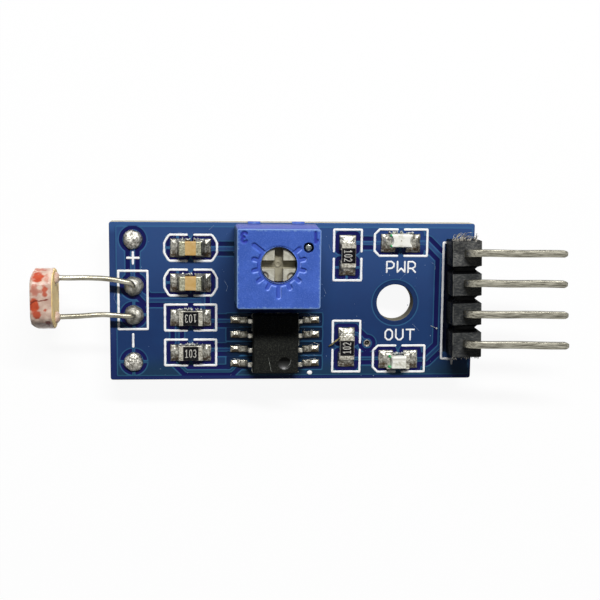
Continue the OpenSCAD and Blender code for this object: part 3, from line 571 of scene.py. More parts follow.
mask = Finish("solder_mask", rough=0.30, Specular_IOR_Level=0.06)
cloud = mask.grain(3.0, 3, 0.6)
near_leads = mask.times(mask.zone("X", -15.5, -14.0, -6.8, -5.8), mask.along("Y", -5.2, -6.6, 1, 0))
near_light = mask.times(mask.zone("X", -2.2, -1.9, 2.7, 3.0), mask.along("Y", 4.2, 5.2, 0, 0.75))
squares = [mask.times(mask.axis(which), mask.axis(which)) for which in "XY"]
near_hole = mask.times(*[mask.ramp(square, 5.0e-6, 4.6e-6) for square in squares])
specks = mask.times(mask.ramp(mask.scatter(0.9), 0.035, 0.02), mask.ramp(mask.grain(2.5, 2), 0.55, 0.66), 0.6)
# A strip beside the header's left wall is painted near black as painted shade.
painted_header_shade = mask.times(mask.zone("X", 4.27, 4.36, 4.75, 4.85), mask.zone("Y", -4.5, -4.3, 5.3, 5.5), 0.9)
# Painted shade: the mask over copper is painted darker towards the board's lower edge, away from the lamp, and darker
# and tealer still along its last two millimetres.
over_copper = mask.layers(
    mask.blend(mask.along("Y", -3, 6.6), "203763", "334e80"),
    (mask.ramp(cloud, 0.35, 0.7, 0, 0.15), "254f84"),
    (mask.along("Y", -4.2, -6.2, 0, 0.8), "1f3a50"))
# Painted shade and sheen: the bare laminate is painted darker towards the lower edge and lighter along the upper
# edge, as the light falls; near the mounting hole it is a darker blue.
over_bare = mask.layers(
    mask.blend(mask.along("Y", -6.4, 2), "1e2c5e", "2d4475"),
    (mask.along("Y", 5.8, 6.6), "38598c"),
    (near_hole, "1d335c"))
# The gaps between copper are painted darker than the bare laminate: partly the thicker mask that pools in them,
# partly painted shade in the narrow channels.
over_gap = mask.layers(
    mask.blend(cloud, "15154c", "181c56"),
    (near_leads, "10243c"),
    (near_light, "2c4880"),
    (mask.value("bare"), over_bare))
blue = mask.layers(
    over_copper,
    (mask.ramp(mask.value("gap"), -0.02, 0.03), over_gap),
    # The teal line along the copper's edges is partly the thinner mask there and partly a painted highlight.
    (mask.times(mask.window(mask.value("gap"), -0.13, -0.05, -0.02, 0.02), 0.40), "3f7c9c"),
    (specks, "a9b4c4"),
    (painted_header_shade, "080c12"))
# The cut sides show the laminate: cream glass layers with darker resin between them
glass = mask.grain(0.55, 4, 0.7, stretch=(4, 4, 0.16))
fibre = mask.layers(
    mask.blend(glass, "a79d78", "cbc8bc"),
    (mask.ramp(mask.grain(0.7, 4), 0.58, 0.72, 0, 0.5), "8c7f55"),
    (mask.value("bore"), mask.blend(glass, "4f4a36", "8f8c80")))
on_side = mask.zone("Z", 0.015, 0.03, 1.535, 1.545)
mask.paint(blue, (on_side, fibre))
mask.set("Roughness", mask.ramp(on_side, 0, 1, 0.30, 0.75))
mask.bump(mask.plus(mask.grain(0.35, 2), mask.times(mask.grain(0.06, 3), 0.4)), 0.006)
make_piece("circuit_board", parts, mask, ["circuit_board"],
           {"gap": (gap, 0.4), "bare": (np.clip(bare_laminate(flat) / 0.06 + 0.5, 0, 1), 1),
            "bore": (np.hypot(points[:, 0], points[:, 1]) < hole_r + 0.04, 0)})

# The legend is white ink, printed in strokes a fifth of a millimetre wide. It stands up a
# little, and its edges wander.
stroke_w, text_w, ink_z, ink_h = 0.20, 0.155, board_t - 0.002, 0.018


def arc(cx, cy, rx, ry, a0, a1, n=8):
    """Points on an ellipse between two angles in degrees."""
    turn = np.radians(np.linspace(a0, a1, n))
    return np.column_stack([cx + rx * np.cos(turn), cy + ry * np.sin(turn)]).tolist()


def even_path(path, step):
    """The same line with points at even steps along it, corners kept."""
    path = np.asarray(path, float)
    rows = []
    for a, b in zip(path[:-1], path[1:]):
        n = max(1, int(np.ceil(np.linalg.norm(b - a) / step)))
        rows.append(a + (b - a) * (np.arange(n) / n)[:, None])
    return np.vstack(rows + [path[-1:]])


def stroke(path, width, z, height, rough=0.0, seed=0):
    """A raised line with round ends: a low arch of five points carried along the path, drawn in
    to nothing at each end on a half circle."""
    path = even_path(path, width * 0.35)
    along = np.gradient(path, axis=0)
    along /= np.maximum(np.hypot(*along.T), 1e-9)[:, None]
    across = np.column_stack([-along[:, 1], along[:, 0]])
    turn = np.radians(np.linspace(0, 90, 5))[:-1]
    reach = (width / 2 * np.cos(turn))[:, None]
    spine = np.vstack([path[0] - along[0] * reach, path, path[-1] + along[-1] * reach[::-1]])
    share = np.maximum(np.concatenate([np.sin(turn), np.ones(len(path)), np.sin(turn[::-1])]), 0.02)
    across = np.vstack([across[:1].repeat(4, 0), across, across[-1:].repeat(4, 0)])
    arch = np.array([(-0.5, 0.0), (-0.42, 0.75), (0, 1.0), (0.42, 0.75), (0.5, 0.0), (0, -1.0)])
    half = (arch[:, 0] * width)[None, :] * (share * (1 + rough * ripple(spine, 0.25, seed)))[:, None]
    rise = z + height * arch[:, 1] * np.minimum(1, share[:, None] + 0.3)
    points = np.dstack([spine[:, None] + across[:, None] * half[..., None], rise])
    return points.reshape(-1, 3), tube_faces(len(spine), len(arch))


bowl = [(0, 1), (0.62, 1), (0.94, 0.82), (0.94, 0.54), (0.62, 0.36), (0, 0.36)]
LETTERS = {
    "P": [[(0, 0)] + bowl],
    "W": [[(0, 1), (0, 0), (0.5, 0.38), (0.98, 0), (0.98, 1)]],
    "R": [[(0, 0)] + bowl, [(0.5, 0.36), (0.96, 0)]],
    "O": [[(0.64, 1), (0.30, 1), (0, 0.76), (0, 0.24), (0.30, 0), (0.64, 0), (0.94, 0.24), (0.94, 0.76), (0.64, 1)]],
    "U": [[(0, 1), (0, 0.24), (0.30, 0), (0.64, 0), (0.94, 0.24), (0.94, 1)]],
    "T": [[(0, 1), (1, 1)], [(0.5, 1), (0.5, 0)]],
    "1": [[(0.18, 0.78), (0.5, 1), (0.5, 0)], [(0.16, 0), (0.84, 0)]],
    "0": [arc(0.5, 0.66, 0.38, 0.34, 0, 180) + arc(0.5, 0.34, 0.38, 0.34, 180, 360) + [(0.88, 0.66)]],
    "2": [arc(0.5, 0.70, 0.38, 0.30, 165, -35) + [(0.10, 0), (0.92, 0)]],
    "3": [arc(0.46, 0.74, 0.38, 0.26, 150, -80) + arc(0.46, 0.26, 0.42, 0.26, 85, -150)],
}


def turned(points, degrees, at=(0, 0)):
    """Flat points turned about the origin and then moved to a place."""
    c, s = math.cos(math.radians(degrees)), math.sin(math.radians(degrees))
    return np.asarray(points, float) @ [[c, s], [-s, c]] + at


def lettering(text, at, height, pitch, width, turn=0.0):
    """The strokes of a short text that starts at a place, turned by degrees."""
    return [turned(np.array(path) * [width, height] + [k * pitch, 0], turn, at)
            for k, sign in enumerate(text) for path in LETTERS[sign]]


def rect_halves(x, y, gap, upright=False, cut=0):
    """A rectangle printed as two brackets with a gap at the middle of its long sides. `cut`
    draws in the corners of the left one."""
    if upright:
        mid = (y[0] + y[1]) / 2
        return [[(x[0], mid + way * gap), (x[0], end), (x[1], end), (x[1], mid + way * gap)]
                for way, end in ((1, y[1]), (-1, y[0]))]
    mid = (x[0] + x[1]) / 2
    return [[(mid + way * gap, y[1]), (end - way * c, y[1]), (end, y[1] - c),
             (end, y[0] + c), (end - way * c, y[0]), (mid + way * gap, y[0])]
            for way, end, c in ((-1, x[0], cut), (1, x[1], 0))]


lines = [
    [(-23.95, 2.75), (-21.47, 2.75), (-21.47, -2.30), (-23.95, -2.30), (-23.95, 2.75)],
    [(-23.17, 3.86), (-22.21, 3.86)], [(-22.69, 4.34), (-22.69, 3.38)],
    [(-22.73, -2.75), (-22.73, -3.82)],
    [(4.60, 5.28), (4.17, 5.28), (4.22, -4.98), (5.15, -5.03)],
    [(5.17, -5.15), (5.17, -5.42)],
]
bow = [(0.33, 1.12), (1.76, 1.12), (1.90, 1.02), (2.06, 0.76), (2.20, 0.52), (2.25, 0.38)]
bow += [(a, -b) for a, b in reversed(bow)]
lines += [[(column_x + way * a, y + b) for a, b in bow] for y in column_y[:2] for way in (-1, 1)]
for y in column_y[2:]:
    lines += rect_halves((-20.0, -15.6), (y - 1.13, y + 1.13), 0.33)
lines += rect_halves((-5.45, -3.04), (1.96, 6.37), 0.33, upright=True)
lines += rect_halves((-5.44, -3.03), (-6.12, -1.60), 0.33, upright=True)
lines += rect_halves((-1.90, 2.71), (4.11, 6.41), 0.32, cut=0.42)
lines += rect_halves((-1.85, 2.71), (-6.15, -3.81), 0.32, cut=0.42)
words = lettering("PWR", (-0.80, 2.68), 0.92, 0.94, 0.66) + lettering("OUT", (-0.80, -3.29), 0.90, 0.94, 0.66)
parts = [stroke(path, stroke_w, ink_z, ink_h, 0.10, k) for k, path in enumerate(lines)]
parts += [stroke(path, text_w, ink_z, ink_h, 0.06, k) for k, path in enumerate(words)]
parts.append(stroke([(-7.46, -6.19), (-7.40, -6.19)], 0.38, ink_z, ink_h))
ink = two_tone("legend_ink", "fbfbfa", "d8dce2", (0.5, 4), (0.50, 0.80), (0.08, 3, 0.004), rough=0.55)
make_piece("board_legend", parts, ink)

# Under the board a few plain tracks join the rows of joints. Nothing else is known of that side.
under_tracks = [
    [(5.8, 4.31), (3.2, 4.31), (2.0, 5.4), (-6.2, 5.4), (-7.96, 5.25)],
    [(5.8, 1.77), (3.4, 1.77), (2.4, 2.8), (-1.0, 2.8), (-3.0, 0.8), (-8.0, 0.8), (-10.5, 2.71)],
    [(5.8, -0.77), (3.6, -0.77), (2.6, -2.6), (-1.4, -2.6), (-2.4, -3.6)],
    [(-13.04, 5.25), (-15.0, 5.25), (-18.4, 1.9), (-22.2, 1.5)],
    [(5.8, -3.31), (4.2, -4.9), (-19.4, -4.9), (-22.65, -5.15)],
]
under = two_tone("track_under_mask", "2a4b82", "31598f", (1.4, 3), bump=(0.3, 2, 0.004), rough=0.32,
                 Specular_IOR_Level=0.25)
make_piece("underside_tracks", [stroke(path, 0.7, 0.0, 0.03) for path in under_tracks], under)

# ---------------------------------------------------------------- solder
# Tin solder, melted on by hand and by oven. It is bright where it faces the light and painted dark,
# as shade and dark reflection, where it stands steep or faces away. It has lumps, pits and brown flux,
# and on the chips' pads more brown lies in the half away from the light: partly flux, partly painted shade.
def tin(name, low, high, brown, size, lumps, metal=1.0, dull=0.0, steep=0.75):
    """Solder between a dark and a bright tone, in patches of a size, with a share of brown flux.
    It is painted darker by a share, as shade and dark reflection, where it stands steep or faces the board's lower
    edge."""
    made = Finish(name, metal=metal)
    patch = made.grain(size, 3, 0.55, warp=0.8)
    fine = made.grain(0.10, 3, 0.6)
    spots = made.ramp(made.grain(0.6, 3, 0.6, warp=0.5), 0.56, 0.68, 0, brown)
    # The brown share kept at the points is partly flux and partly painted shade.
    flux_and_painted_shade = made.times(made.value("flux"), made.ramp(made.grain(0.22, 4, 0.65), 0.34, 0.56))
    # Painted shade and dark reflection where the solder stands steep or faces the board's lower edge.
    shaded = made.most(made.ramp(made.facing("Y"), -0.10, -0.42), made.ramp(made.facing("Z"), 0.80, 0.45))
    shaded = made.times(shaded, made.ramp(made.facing("Y"), 0.05, 0.45, 1, 0), steep)
    made.paint(made.blend(made.ramp(patch, 0.34, 0.66), low, high),
               (shaded, "2b2924"),
               (made.most(spots, flux_and_painted_shade), made.blend(made.grain(0.5, 2), "1d1712", "4a3820")))
    made.set("Roughness", made.ramp(fine, 0.3, 0.7, 0.20 + dull, 0.42 + dull))
    made.bump(made.plus(patch, made.times(fine, 0.3)), lumps)
    return made


solder = tin("solder", "646259", "bab8ae", 0.08, 0.26, 0.026, 0.74, 0.04, 0.50)
lead_solder = tin("lead_solder", "4a473f", "a19e93", 0.0, 0.14, 0.004, steep=0.9)
hand_solder = tin("hand_solder", "6b6960", "afada4", 0.06, 0.40, 0.012, 0.75, 0.16, 0.45)
pad_solder = tin("pad_solder", "6b6860", "cfccc3", 0.12, 0.16, 0.06, 1.0, 0.06, 0.35)


def dome(at, r, top_z, base_z, lump_h, seed, rings=16, around=48, power=2.0, ring_h=0.0):
    """A round blob: height falls off from the middle as 1 - (radius share) to a power, with
    ripples and fine rings on it, and a flat foot closes it below."""
    share = np.linspace(0, 1, rings)[1:]
    turn = np.linspace(0, 2 * math.pi, around, endpoint=False)
    s, a = np.meshgrid(share, turn, indexing="ij")
    edge = 1 + 0.035 * np.sin(3 * a + seed) + 0.02 * np.sin(7 * a + 2 * seed)
    x, y = at[0] + r * edge * s * np.cos(a), at[1] + r * edge * s * np.sin(a)
    bump = ripple(np.column_stack([x.ravel(), y.ravel()]), 0.45, seed).reshape(x.shape)
    z = base_z + (top_z - base_z) * np.sqrt(np.maximum(1 - s ** power, 0)) + lump_h * bump * (1 - s ** 4)
    z = z + ring_h * np.sin(s * r * 2 * math.pi / 0.15 + 0.8 * np.sin(a + seed)) * np.minimum(s, 1 - s ** 6)
    rows = np.stack([x, y, z], -1).reshape(-1, 3)
    centre = [at[0], at[1], top_z + lump_h * float(ripple(np.array([at]), 0.45, seed)[0])]
    faces = grid_faces(rings - 1, around, wrap=True, first=1).tolist()
    n = len(rows)
    faces += [[0, 1 + (k + 1) % around, 1 + k] for k in range(around)]
    faces += [[n + 1, n - around + 1 + k, n - around + 1 + (k + 1) % around] for k in range(around)]
    return np.vstack([[centre], rows, [[at[0], at[1], base_z]]]), faces


def cone(at, r, tip_r, tip_z, around=40, steps=9):
    """A fillet under the board: its radius closes in from the foot to the lead with the square
    of the way down, and a flat lid closes each end."""
    t = np.linspace(0, 1, steps)[:, None]
    turn = np.linspace(0, 2 * math.pi, around, endpoint=False)[None, :]
    radius = (tip_r + (r - tip_r) * (1 - t) ** 2) * (1 + 0.03 * np.sin(3 * turn + at[1]))
    rows = np.stack([at[0] + radius * np.cos(turn), at[1] + radius * np.sin(turn),
                     np.broadcast_to(tip_z * t, radius.shape)], -1).reshape(-1, 3)
    n = len(rows)
    faces = grid_faces(steps, around, wrap=True).tolist()
    faces += [[n, k, (k + 1) % around] for k in range(around)]
    faces += [[n + 1, n - around + (k + 1) % around, n - around + k] for k in range(around)]
    return np.vstack([rows, [[at[0], at[1], 0], [at[0], at[1], tip_z]]]), faces


tail = -1.2
for name, at, seed in (("plus_pad_solder", bare_pads_at[0], 1), ("minus_pad_solder", bare_pads_at[1], 4)):
    parts = [dome(at, round_pad_r, board_t + 0.5, board_t - 0.03, 0.09, seed, rings=30, around=96),
             cone(at, 0.8, 0.2, -0.35)]
    make_piece(name, parts, pad_solder, [name])
parts = []
for k, at in enumerate(joints_at):
    parts += [dome(at, round_pad_r, board_t + 0.78, board_t - 0.03, 0.04, 7 + k, 48, 96, power=1.7, ring_h=0.010),
              cone(at, 0.8, 0.31, tail * 0.75)]
make_piece("photoresistor_solder", parts, hand_solder, ["photoresistor_solder"])


def fillet(at, upright, side, span, width, body, climb, seed, step=0.04, slope=0.47, off=0.0, rough=1.0):
    """Solder on one pad of a chip whose middle lies `off` to the side of the pad's. On the free
    part of the pad it lies like a hipped roof of one slope. Against the chip's end it climbs with
    the square of the nearness, and under the chip it stays below the metal end. Rings and ripples
    lie on top, and a flat foot closes it. Returns the points, the faces and a share of brown at
    each point, partly flux and partly painted shade: most in the half that faces away from the
    board's upper edge and its light."""
    u = np.linspace(span[0], span[1], round((span[1] - span[0]) / step) + 1)
    v = np.linspace(-width / 2, width / 2, round(width / step) + 1)
    gu, gv = np.meshgrid(u, v, indexing="ij")
    p = np.column_stack([gu.ravel(), gv.ravel()])
    away = np.maximum(from_box(p, (-body[0] / 2, body[0] / 2), (off - body[1] / 2, off + body[1] / 2), 0.02), 0)
    edge = np.minimum(np.minimum(p[:, 0] - span[0], span[1] - p[:, 0]), width / 2 - np.abs(p[:, 1]))
    eaves = np.minimum(np.minimum(span[1] - p[:, 0], width / 2 - np.abs(p[:, 1])), 1.6 * away)
    uneven = 1 + 0.25 * rough * ripple(p, 0.6, seed)
    z = 0.07 + slope * eaves * uneven + (climb - 0.07) * np.clip(1 - away / 0.36, 0, 1) ** 2
    z += rough * (0.010 * np.sin(away * 2 * math.pi / 0.16 + seed) + 0.012 * ripple(p, 0.3, seed + 3))
    z = np.where(away <= 0, np.minimum(z, climb), z)
    z = np.maximum(z, 0.05) * np.clip(edge / 0.05, 0, 1) ** 0.5
    wobble = 0.03 * ripple(p, 0.4, seed + 8) * (edge < 0.05)
    x, y = side * (p[:, 0] + wobble), p[:, 1] + 0.5 * wobble
    if upright:
        x, y = -y, x
    # The brown share is laid in the pad's half away from the light: partly flux, partly painted shade.
    height_on_pad = (y - (y.max() + y.min()) / 2) / ((y.max() - y.min()) / 2)
    flux = np.clip(0.15 - 1.6 * height_on_pad, 0, 1) * np.clip(edge / 0.12, 0, 1)
    top = np.column_stack([at[0] + x, at[1] + y, board_t + z - 0.004])
    rim = border(np.arange(len(top)).reshape(len(u), len(v)))
    return top, grid_faces(len(u), len(v)).tolist() + [rim[::-1].tolist()], flux


chip_l, chip_w = 2.0, 1.22
capacitor_h, resistor_h, light_h = 0.85, 0.55, 0.8
kinds = {
    "capacitor_solder": [((column_x, y), False, chip_pad, wide_pad_w, 0.62, 0.0) for y in column_y[:2]],
    "resistor_solder": [((column_x, y), False, chip_pad, pad_w, 0.46, 0.0) for y in column_y[2:]]
    + [(at, True, chip_pad, pad_w, 0.46, 0.0) for at in series_at],
    "light_solder": [(at, False, light_pad, wide_pad_w, 0.34, on[1] - at[1])
                     for at, on in zip(light_pads_at, lights_at)],
}
for name, chips in kinds.items():
    parts = [fillet(at, upright, side, span, width, (chip_l, chip_w), climb, 11 * k + 3 * side + len(name), off=off)
             for k, (at, upright, span, width, climb, off) in enumerate(chips) for side in (-1, 1)]
    make_piece(name, parts, solder, [name], {"flux": (np.concatenate([part[2] for part in parts]), 0)})

lead_w, lead_span = 0.42, 6.1
parts = [fillet((comparator_at[0], y), False, side, (2.35, 3.88), 0.62, (lead_span, lead_w), 0.20, 5 * k + side,
                step=0.025, slope=0.52, rough=0.3)
         for k, y in enumerate(comparator_rows) for side in (-1, 1)]
make_piece("comparator_solder", parts, lead_solder, ["comparator_solder"],
           {"flux": (0.7 * np.concatenate([part[2] for part in parts]), 0)})

header_x, header_rows = 5.8, (4.31, 1.77, -0.77, -3.31)
trimmer_pins = ((-7.96, 5.25), (-10.5, 2.71), (-13.04, 5.25))
make_piece("header_solder", [cone((header_x, y), 0.9, 0.46, tail * 0.75) for y in header_rows], solder,
           ["header_solder"])
make_piece("trimmer_solder", [cone(at, 0.8, 0.33, tail * 0.75) for at in trimmer_pins], solder,
           ["trimmer_solder"])


# ---------------------------------------------------------------- chips
# Two tan ceramic capacitors with metal ends, and four resistors: white ceramic with a black
# overcoat that carries plain value numbers. Their metal ends are tinned.
def dress(finish, *nodes, edge=0.0):
    """Gives CAD nodes a finish, and softens their edges where `edge` is set."""
    for node in nodes:
        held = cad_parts[node]
        held.data.materials.clear()
        held.data.materials.append(finish.material)
        if edge:
            soft = held.modifiers.new("soft edges", "BEVEL")
            soft.width, soft.segments = edge * MM, 2
            soft.limit_method, soft.angle_limit = "ANGLE", math.radians(40)


tinned = two_tone("tinned_ends", "7b776b", "c4c1b5", (0.14, 4, 0.6), (0.35, 0.65), (0.10, 4, 0.02), metal=1.0)
tinned.set("Roughness", tinned.ramp(tinned.grain(0.12, 3), 0.3, 0.7, 0.25, 0.5))
dress(tinned, *[f"resistor_{k}_terminals" for k in range(1, 5)], "power_light_terminals", "output_light_terminals",
      edge=0.03)

coated = two_tone("capacitor_ends", "6c6b58", "b9b79f", (0.11, 4, 0.6), (0.35, 0.65), (0.10, 4, 0.02),
                  rough=0.36, metal=1.0)

tan = two_tone("capacitor_ceramic", "c19c5b", "d2b27c", (0.5, 4, 0.6), (0.3, 0.75), (0.08, 3, 0.006),
               rough=0.45, Specular_IOR_Level=0.3)


def bend_path(corners, radius, steps=5):
    """A line through corner points with each inner corner rounded by an arc of the radius."""
    corners = [np.array(c, float) for c in corners]
    rows = [corners[0]]
    for a, b, c in zip(corners[:-2], corners[1:-1], corners[2:]):
        u, v = (a - b) / np.linalg.norm(a - b), (c - b) / np.linalg.norm(c - b)
        half = math.acos(max(-1, min(1, float(u @ v)))) / 2
        cut_back = min(radius / math.tan(half), 0.45 * np.linalg.norm(a - b), 0.45 * np.linalg.norm(c - b))
        for t in np.linspace(0, 1, steps):
            rows.append((1 - t) ** 2 * (b + u * cut_back) + 2 * t * (1 - t) * b + t ** 2 * (b + v * cut_back))
    return np.array(rows + [corners[-1]])


def bar(path, profile, side=(0, 1, 0)):
    """Carries a closed profile of (across, up) points along a path in space. `side` is the
    direction across; up is square to it and the path. Flat ends close it."""
    path = np.asarray(path, float)
    along = np.gradient(path, axis=0)
    along /= np.linalg.norm(along, axis=1)[:, None]
    across = np.broadcast_to(np.array(side, float), along.shape)
    up = np.cross(along, across)
    up /= np.linalg.norm(up, axis=1)[:, None]
    across = np.cross(up, along)
    profile = np.asarray(profile, float)
    if profile.ndim == 2:
        profile = np.broadcast_to(profile, (len(path), *profile.shape))
    points = path[:, None, :] + across[:, None, :] * profile[..., :1] + up[:, None, :] * profile[..., 1:]
    return points.reshape(-1, 3), tube_faces(*profile.shape[:2])


def soft_square(w, h, r, n=3):
    """A rectangle's outline with its corners rounded."""
    rows = []
    for right, up, a in ((1, 1, 0), (-1, 1, 90), (-1, -1, 180), (1, -1, 270)):
        turn = np.radians(np.linspace(a, a + 90, n))
        rows.append(np.column_stack([right * (w / 2 - r) + r * np.cos(turn), up * (h / 2 - r) + r * np.sin(turn)]))
    return np.vstack(rows)


def round_ended(at, x0, x1, w, h, r0, r1, corner=0.05):
    """A bar along x from x0 to x1 about a place, whose section draws in by a quarter circle of
    r0 at its start and of r1 at its end."""
    a = np.linspace(0, math.pi / 2, 8)
    s = math.copysign(1, x1 - x0)
    middle = np.linspace(x0 + s * (r0 + 0.02), x1 - s * (r1 + 0.02), 6)
    x = np.concatenate([x0 + s * r0 * (1 - np.cos(a)), middle, x1 - s * r1 * (1 - np.sin(a))])
    inset = np.concatenate([r0 * (1 - np.sin(a)), np.zeros(6), r1 * (1 - np.cos(a))])
    outline = soft_square(w, h, corner, 5)
    outline = even_path(np.vstack([outline, outline[:1]]), 0.12)[:-1]
    scale = np.column_stack([1 - 2 * inset / w, 1 - 2 * inset / h])
    path = np.column_stack([at[0] + x, np.full(len(x), at[1]), np.full(len(x), board_t + h / 2)])
    return bar(path, outline[None] * scale[:, None, :])


capacitor_cap_l = 0.54
for k, y in enumerate(column_y[:2]):
    body, body_faces = round_ended((column_x, y), -0.80, 0.80, chip_w - 0.04, capacitor_h - 0.03, 0.02, 0.02, 0.06)
    make_piece(f"capacitor_{k + 1}_tan_body", [(body + [0, 0, 0.005], body_faces)], tan,
               [f"capacitor_{k + 1}_body"])
    ends = [round_ended((column_x, y), side * (chip_l / 2 - capacitor_cap_l), side * chip_l / 2,
                        chip_w, capacitor_h, 0.03, 0.17, 0.10) for side in (-1, 1)]
    make_piece(f"capacitor_{k + 1}_ends", ends, coated, [f"capacitor_{k + 1}_terminals"])

white_ceramic = two_tone("resistor_ceramic", "a8a496", "cfccc0", (0.3, 4), bump=(0.1, 3, 0.008), rough=0.6)
dress(white_ceramic, *[f"resistor_{k}_substrate" for k in range(1, 5)], edge=0.02)

overcoat = two_tone("resistor_overcoat", "0d0d10", "2a2a2c", (0.4, 4), (0.4, 0.8), (0.12, 3, 0.01),
                    rough=0.32, Specular_IOR_Level=0.05)
dress(overcoat, *[f"resistor_{k}_overcoat" for k in range(1, 5)], edge=0.02)

number_z, number_h, number_pitch, number_w = board_t + resistor_h + 0.004, 0.66, 0.355, 0.26
parts = []
for text, at, turn in (("103", (column_x, column_y[2]), 180), ("103", (column_x, column_y[3]), 0),
                       ("102", series_at[0], -90), ("102", series_at[1], 90)):
    start = turned([-(number_pitch + number_w / 2), -number_h / 2], turn, at)
    parts += [stroke(path, 0.075, number_z, 0.012)
              for path in lettering(text, start, number_h, number_pitch, number_w, turn)]
pale = two_tone("number_print", "a9a69c", "d9d7cf", (0.12, 3), rough=0.6)
make_piece("resistor_numbers", parts, pale)

# ---------------------------------------------------------------- lights
# Two chip lights: a white laminate base with green marks at one end and a clear resin lens
# with hollowed ends. The lens looks milky over the white base.
base_white = two_tone("light_laminate", "e9ebe2", "c9c6a8", (0.4, 3), (0.4, 0.7), (0.1, 2, 0.005), rough=0.5)
dress(base_white, "power_light_base", "output_light_base", edge=0.02)
die = two_tone("light_die", "3a8a55", "8aa890", (0.1, 2), rough=0.4)
dress(die, "power_light_die", "output_light_die")
# Each lens: its place, half its length at the corners and how far its ends are hollowed. The
# upper one has a dark spot, and the lower one shows its bond wires.
lens_z = board_t + light_h
wires = (([(-0.5, -0.06), (-0.1, -0.12)], 0.10), ([(-0.02, 0.08), (0.10, -0.14), (0.36, -0.32)], 0.14))
parts, bruises = [], []
for at, half, scoop in ((lights_at[0], 0.95, 0.19), (lights_at[1], 0.70, 0.05)):
    u, v = np.meshgrid(np.linspace(-1, 1, 45), np.linspace(-1, 1, 29), indexing="ij")
    flat = np.column_stack([(u * (half - 0.09 - scoop * (1 - v ** 2))).ravel(), (v * 0.47).ravel()])
    spot = np.clip(1.3 - np.hypot(*(flat + (0.06, -0.03)).T) / 0.075, 0, 1)
    if at == lights_at[1]:
        dark = closest([from_line(flat, *wire) for wire in wires] + [from_box(flat, (-0.6, 0.6), (0.22, 0.36), 0.02)])
        spot = 0.42 * np.clip(0.5 - dark / 0.08, 0, 1)
    level = lens_z - 0.012 * np.maximum(np.abs(u), np.abs(v)).ravel() ** 4 - 0.02 * spot
    rim = border(np.arange(len(flat)).reshape(u.shape))
    side = [(0, 0), (0.02, -0.008), (0.04, -0.04), (0.12, -0.34), (0.13, -0.46)]
    ring = walls(flat[rim] + at, lens_z - 0.012, side)
    parts.append(join((np.column_stack([flat + at, level]), grid_faces(*u.shape)), ring, lid(ring[2])))
    bruises.append(np.pad(spot, (0, len(parts[-1][0]) - len(spot))))
milky = Finish("light_resin", rough=0.14, Coat_Weight=0.5, Coat_Roughness=0.05)
scrape = milky.ramp(milky.grain(0.16, 4, 0.65, stretch=(2.5, 1, 1)), 0.58, 0.66)
milky.paint(milky.blend(milky.ramp(milky.grain(0.55, 4, 0.6), 0.48, 0.70), "f4f3ea", "cdccba"),
            (milky.times(scrape, milky.ramp(milky.grain(0.9, 2), 0.48, 0.58), 0.6), "a3a293"),
            (milky.value("spot"), "8a7f62"))
milky.bump(milky.grain(0.3, 3), 0.02)
make_piece("light_lenses", parts, milky, ["power_light_lens", "output_light_lens"],
           {"spot": (np.concatenate(bruises), 0)})

green_marks = two_tone("green_marks", "2f9c5a", "52c47c", (0.1, 2), rough=0.35)
parts = [dome(spot, 0.14, lens_z + 0.01, board_t + 0.30, 0.01, 3, rings=8, around=20)
         for spot in ((-0.53, 5.90), (-0.50, 5.00), (-0.44, -4.70), (-0.46, -5.62))]
make_piece("light_marks", parts, green_marks)

# ---------------------------------------------------------------- comparator
# A black epoxy moulding with drafted sides, a round dimple at pin 1 and eight gull-wing leads.
comparator_l, comparator_w, comparator_h = 5.2, 4.0, 1.45
standoff = 0.12
parting = standoff + comparator_h * 0.48
lean = (0.11, 0.09)
dimple_at, dimple_r = (-9.75, -5.05), 0.55
edge = 0.05
x, y = ((middle - size / 2 + draft + edge, middle + size / 2 - draft - edge)
        for middle, size, draft in zip(comparator_at, (comparator_w, comparator_l), lean))
flat, cells, outer, _ = plate(x, y, 0.055)
dent = from_disc(flat, dimple_at, dimple_r)
face_z, drop = board_t + standoff + comparator_h, comparator_h + standoff - parting
height = face_z - 0.16 * np.clip(1 - (1 + dent / dimple_r) ** 2, 0, 1) * (dent < 0)
side = [(0, 0), (0.03, -0.012), (edge, -0.05), (edge + 0.10, -drop), (edge + 0.10, -drop - 0.03),
        (edge, -comparator_h + 0.04), (0.0, -comparator_h)]
ring = walls(flat[outer], face_z, side)
parts = [(np.column_stack([flat, height]), cells), ring, lid(ring[2])]
epoxy = Finish("moulded_epoxy")
dust = epoxy.ramp(epoxy.grain(0.10, 5, 0.7), 0.46, 0.68)
# The dimple is painted nearly black, as painted shade in its hollow.
epoxy.paint(epoxy.blend(epoxy.times(dust, 0.6), "1c1d1c", "45463f"),
            (epoxy.times(epoxy.value("dimple"), 0.8), "080808"))
epoxy.set("Roughness", epoxy.ramp(epoxy.value("dimple"), 0, 1, 0.50, 0.36))
epoxy.set("Specular IOR Level", epoxy.ramp(epoxy.value("shine"), 0, 1, 0.01, 0.60, "LINEAR"))
epoxy.bump(epoxy.grain(0.05, 4, 0.7), 0.006)
shine = (dent < 0) * np.clip(0.30 - (flat[:, 1] - dimple_at[1]) / 0.75, 0, 1)
make_piece("comparator_body", parts, epoxy, ["comparator_body"],
           {"dimple": (dent < 0, 0), "shine": (shine, 0)})

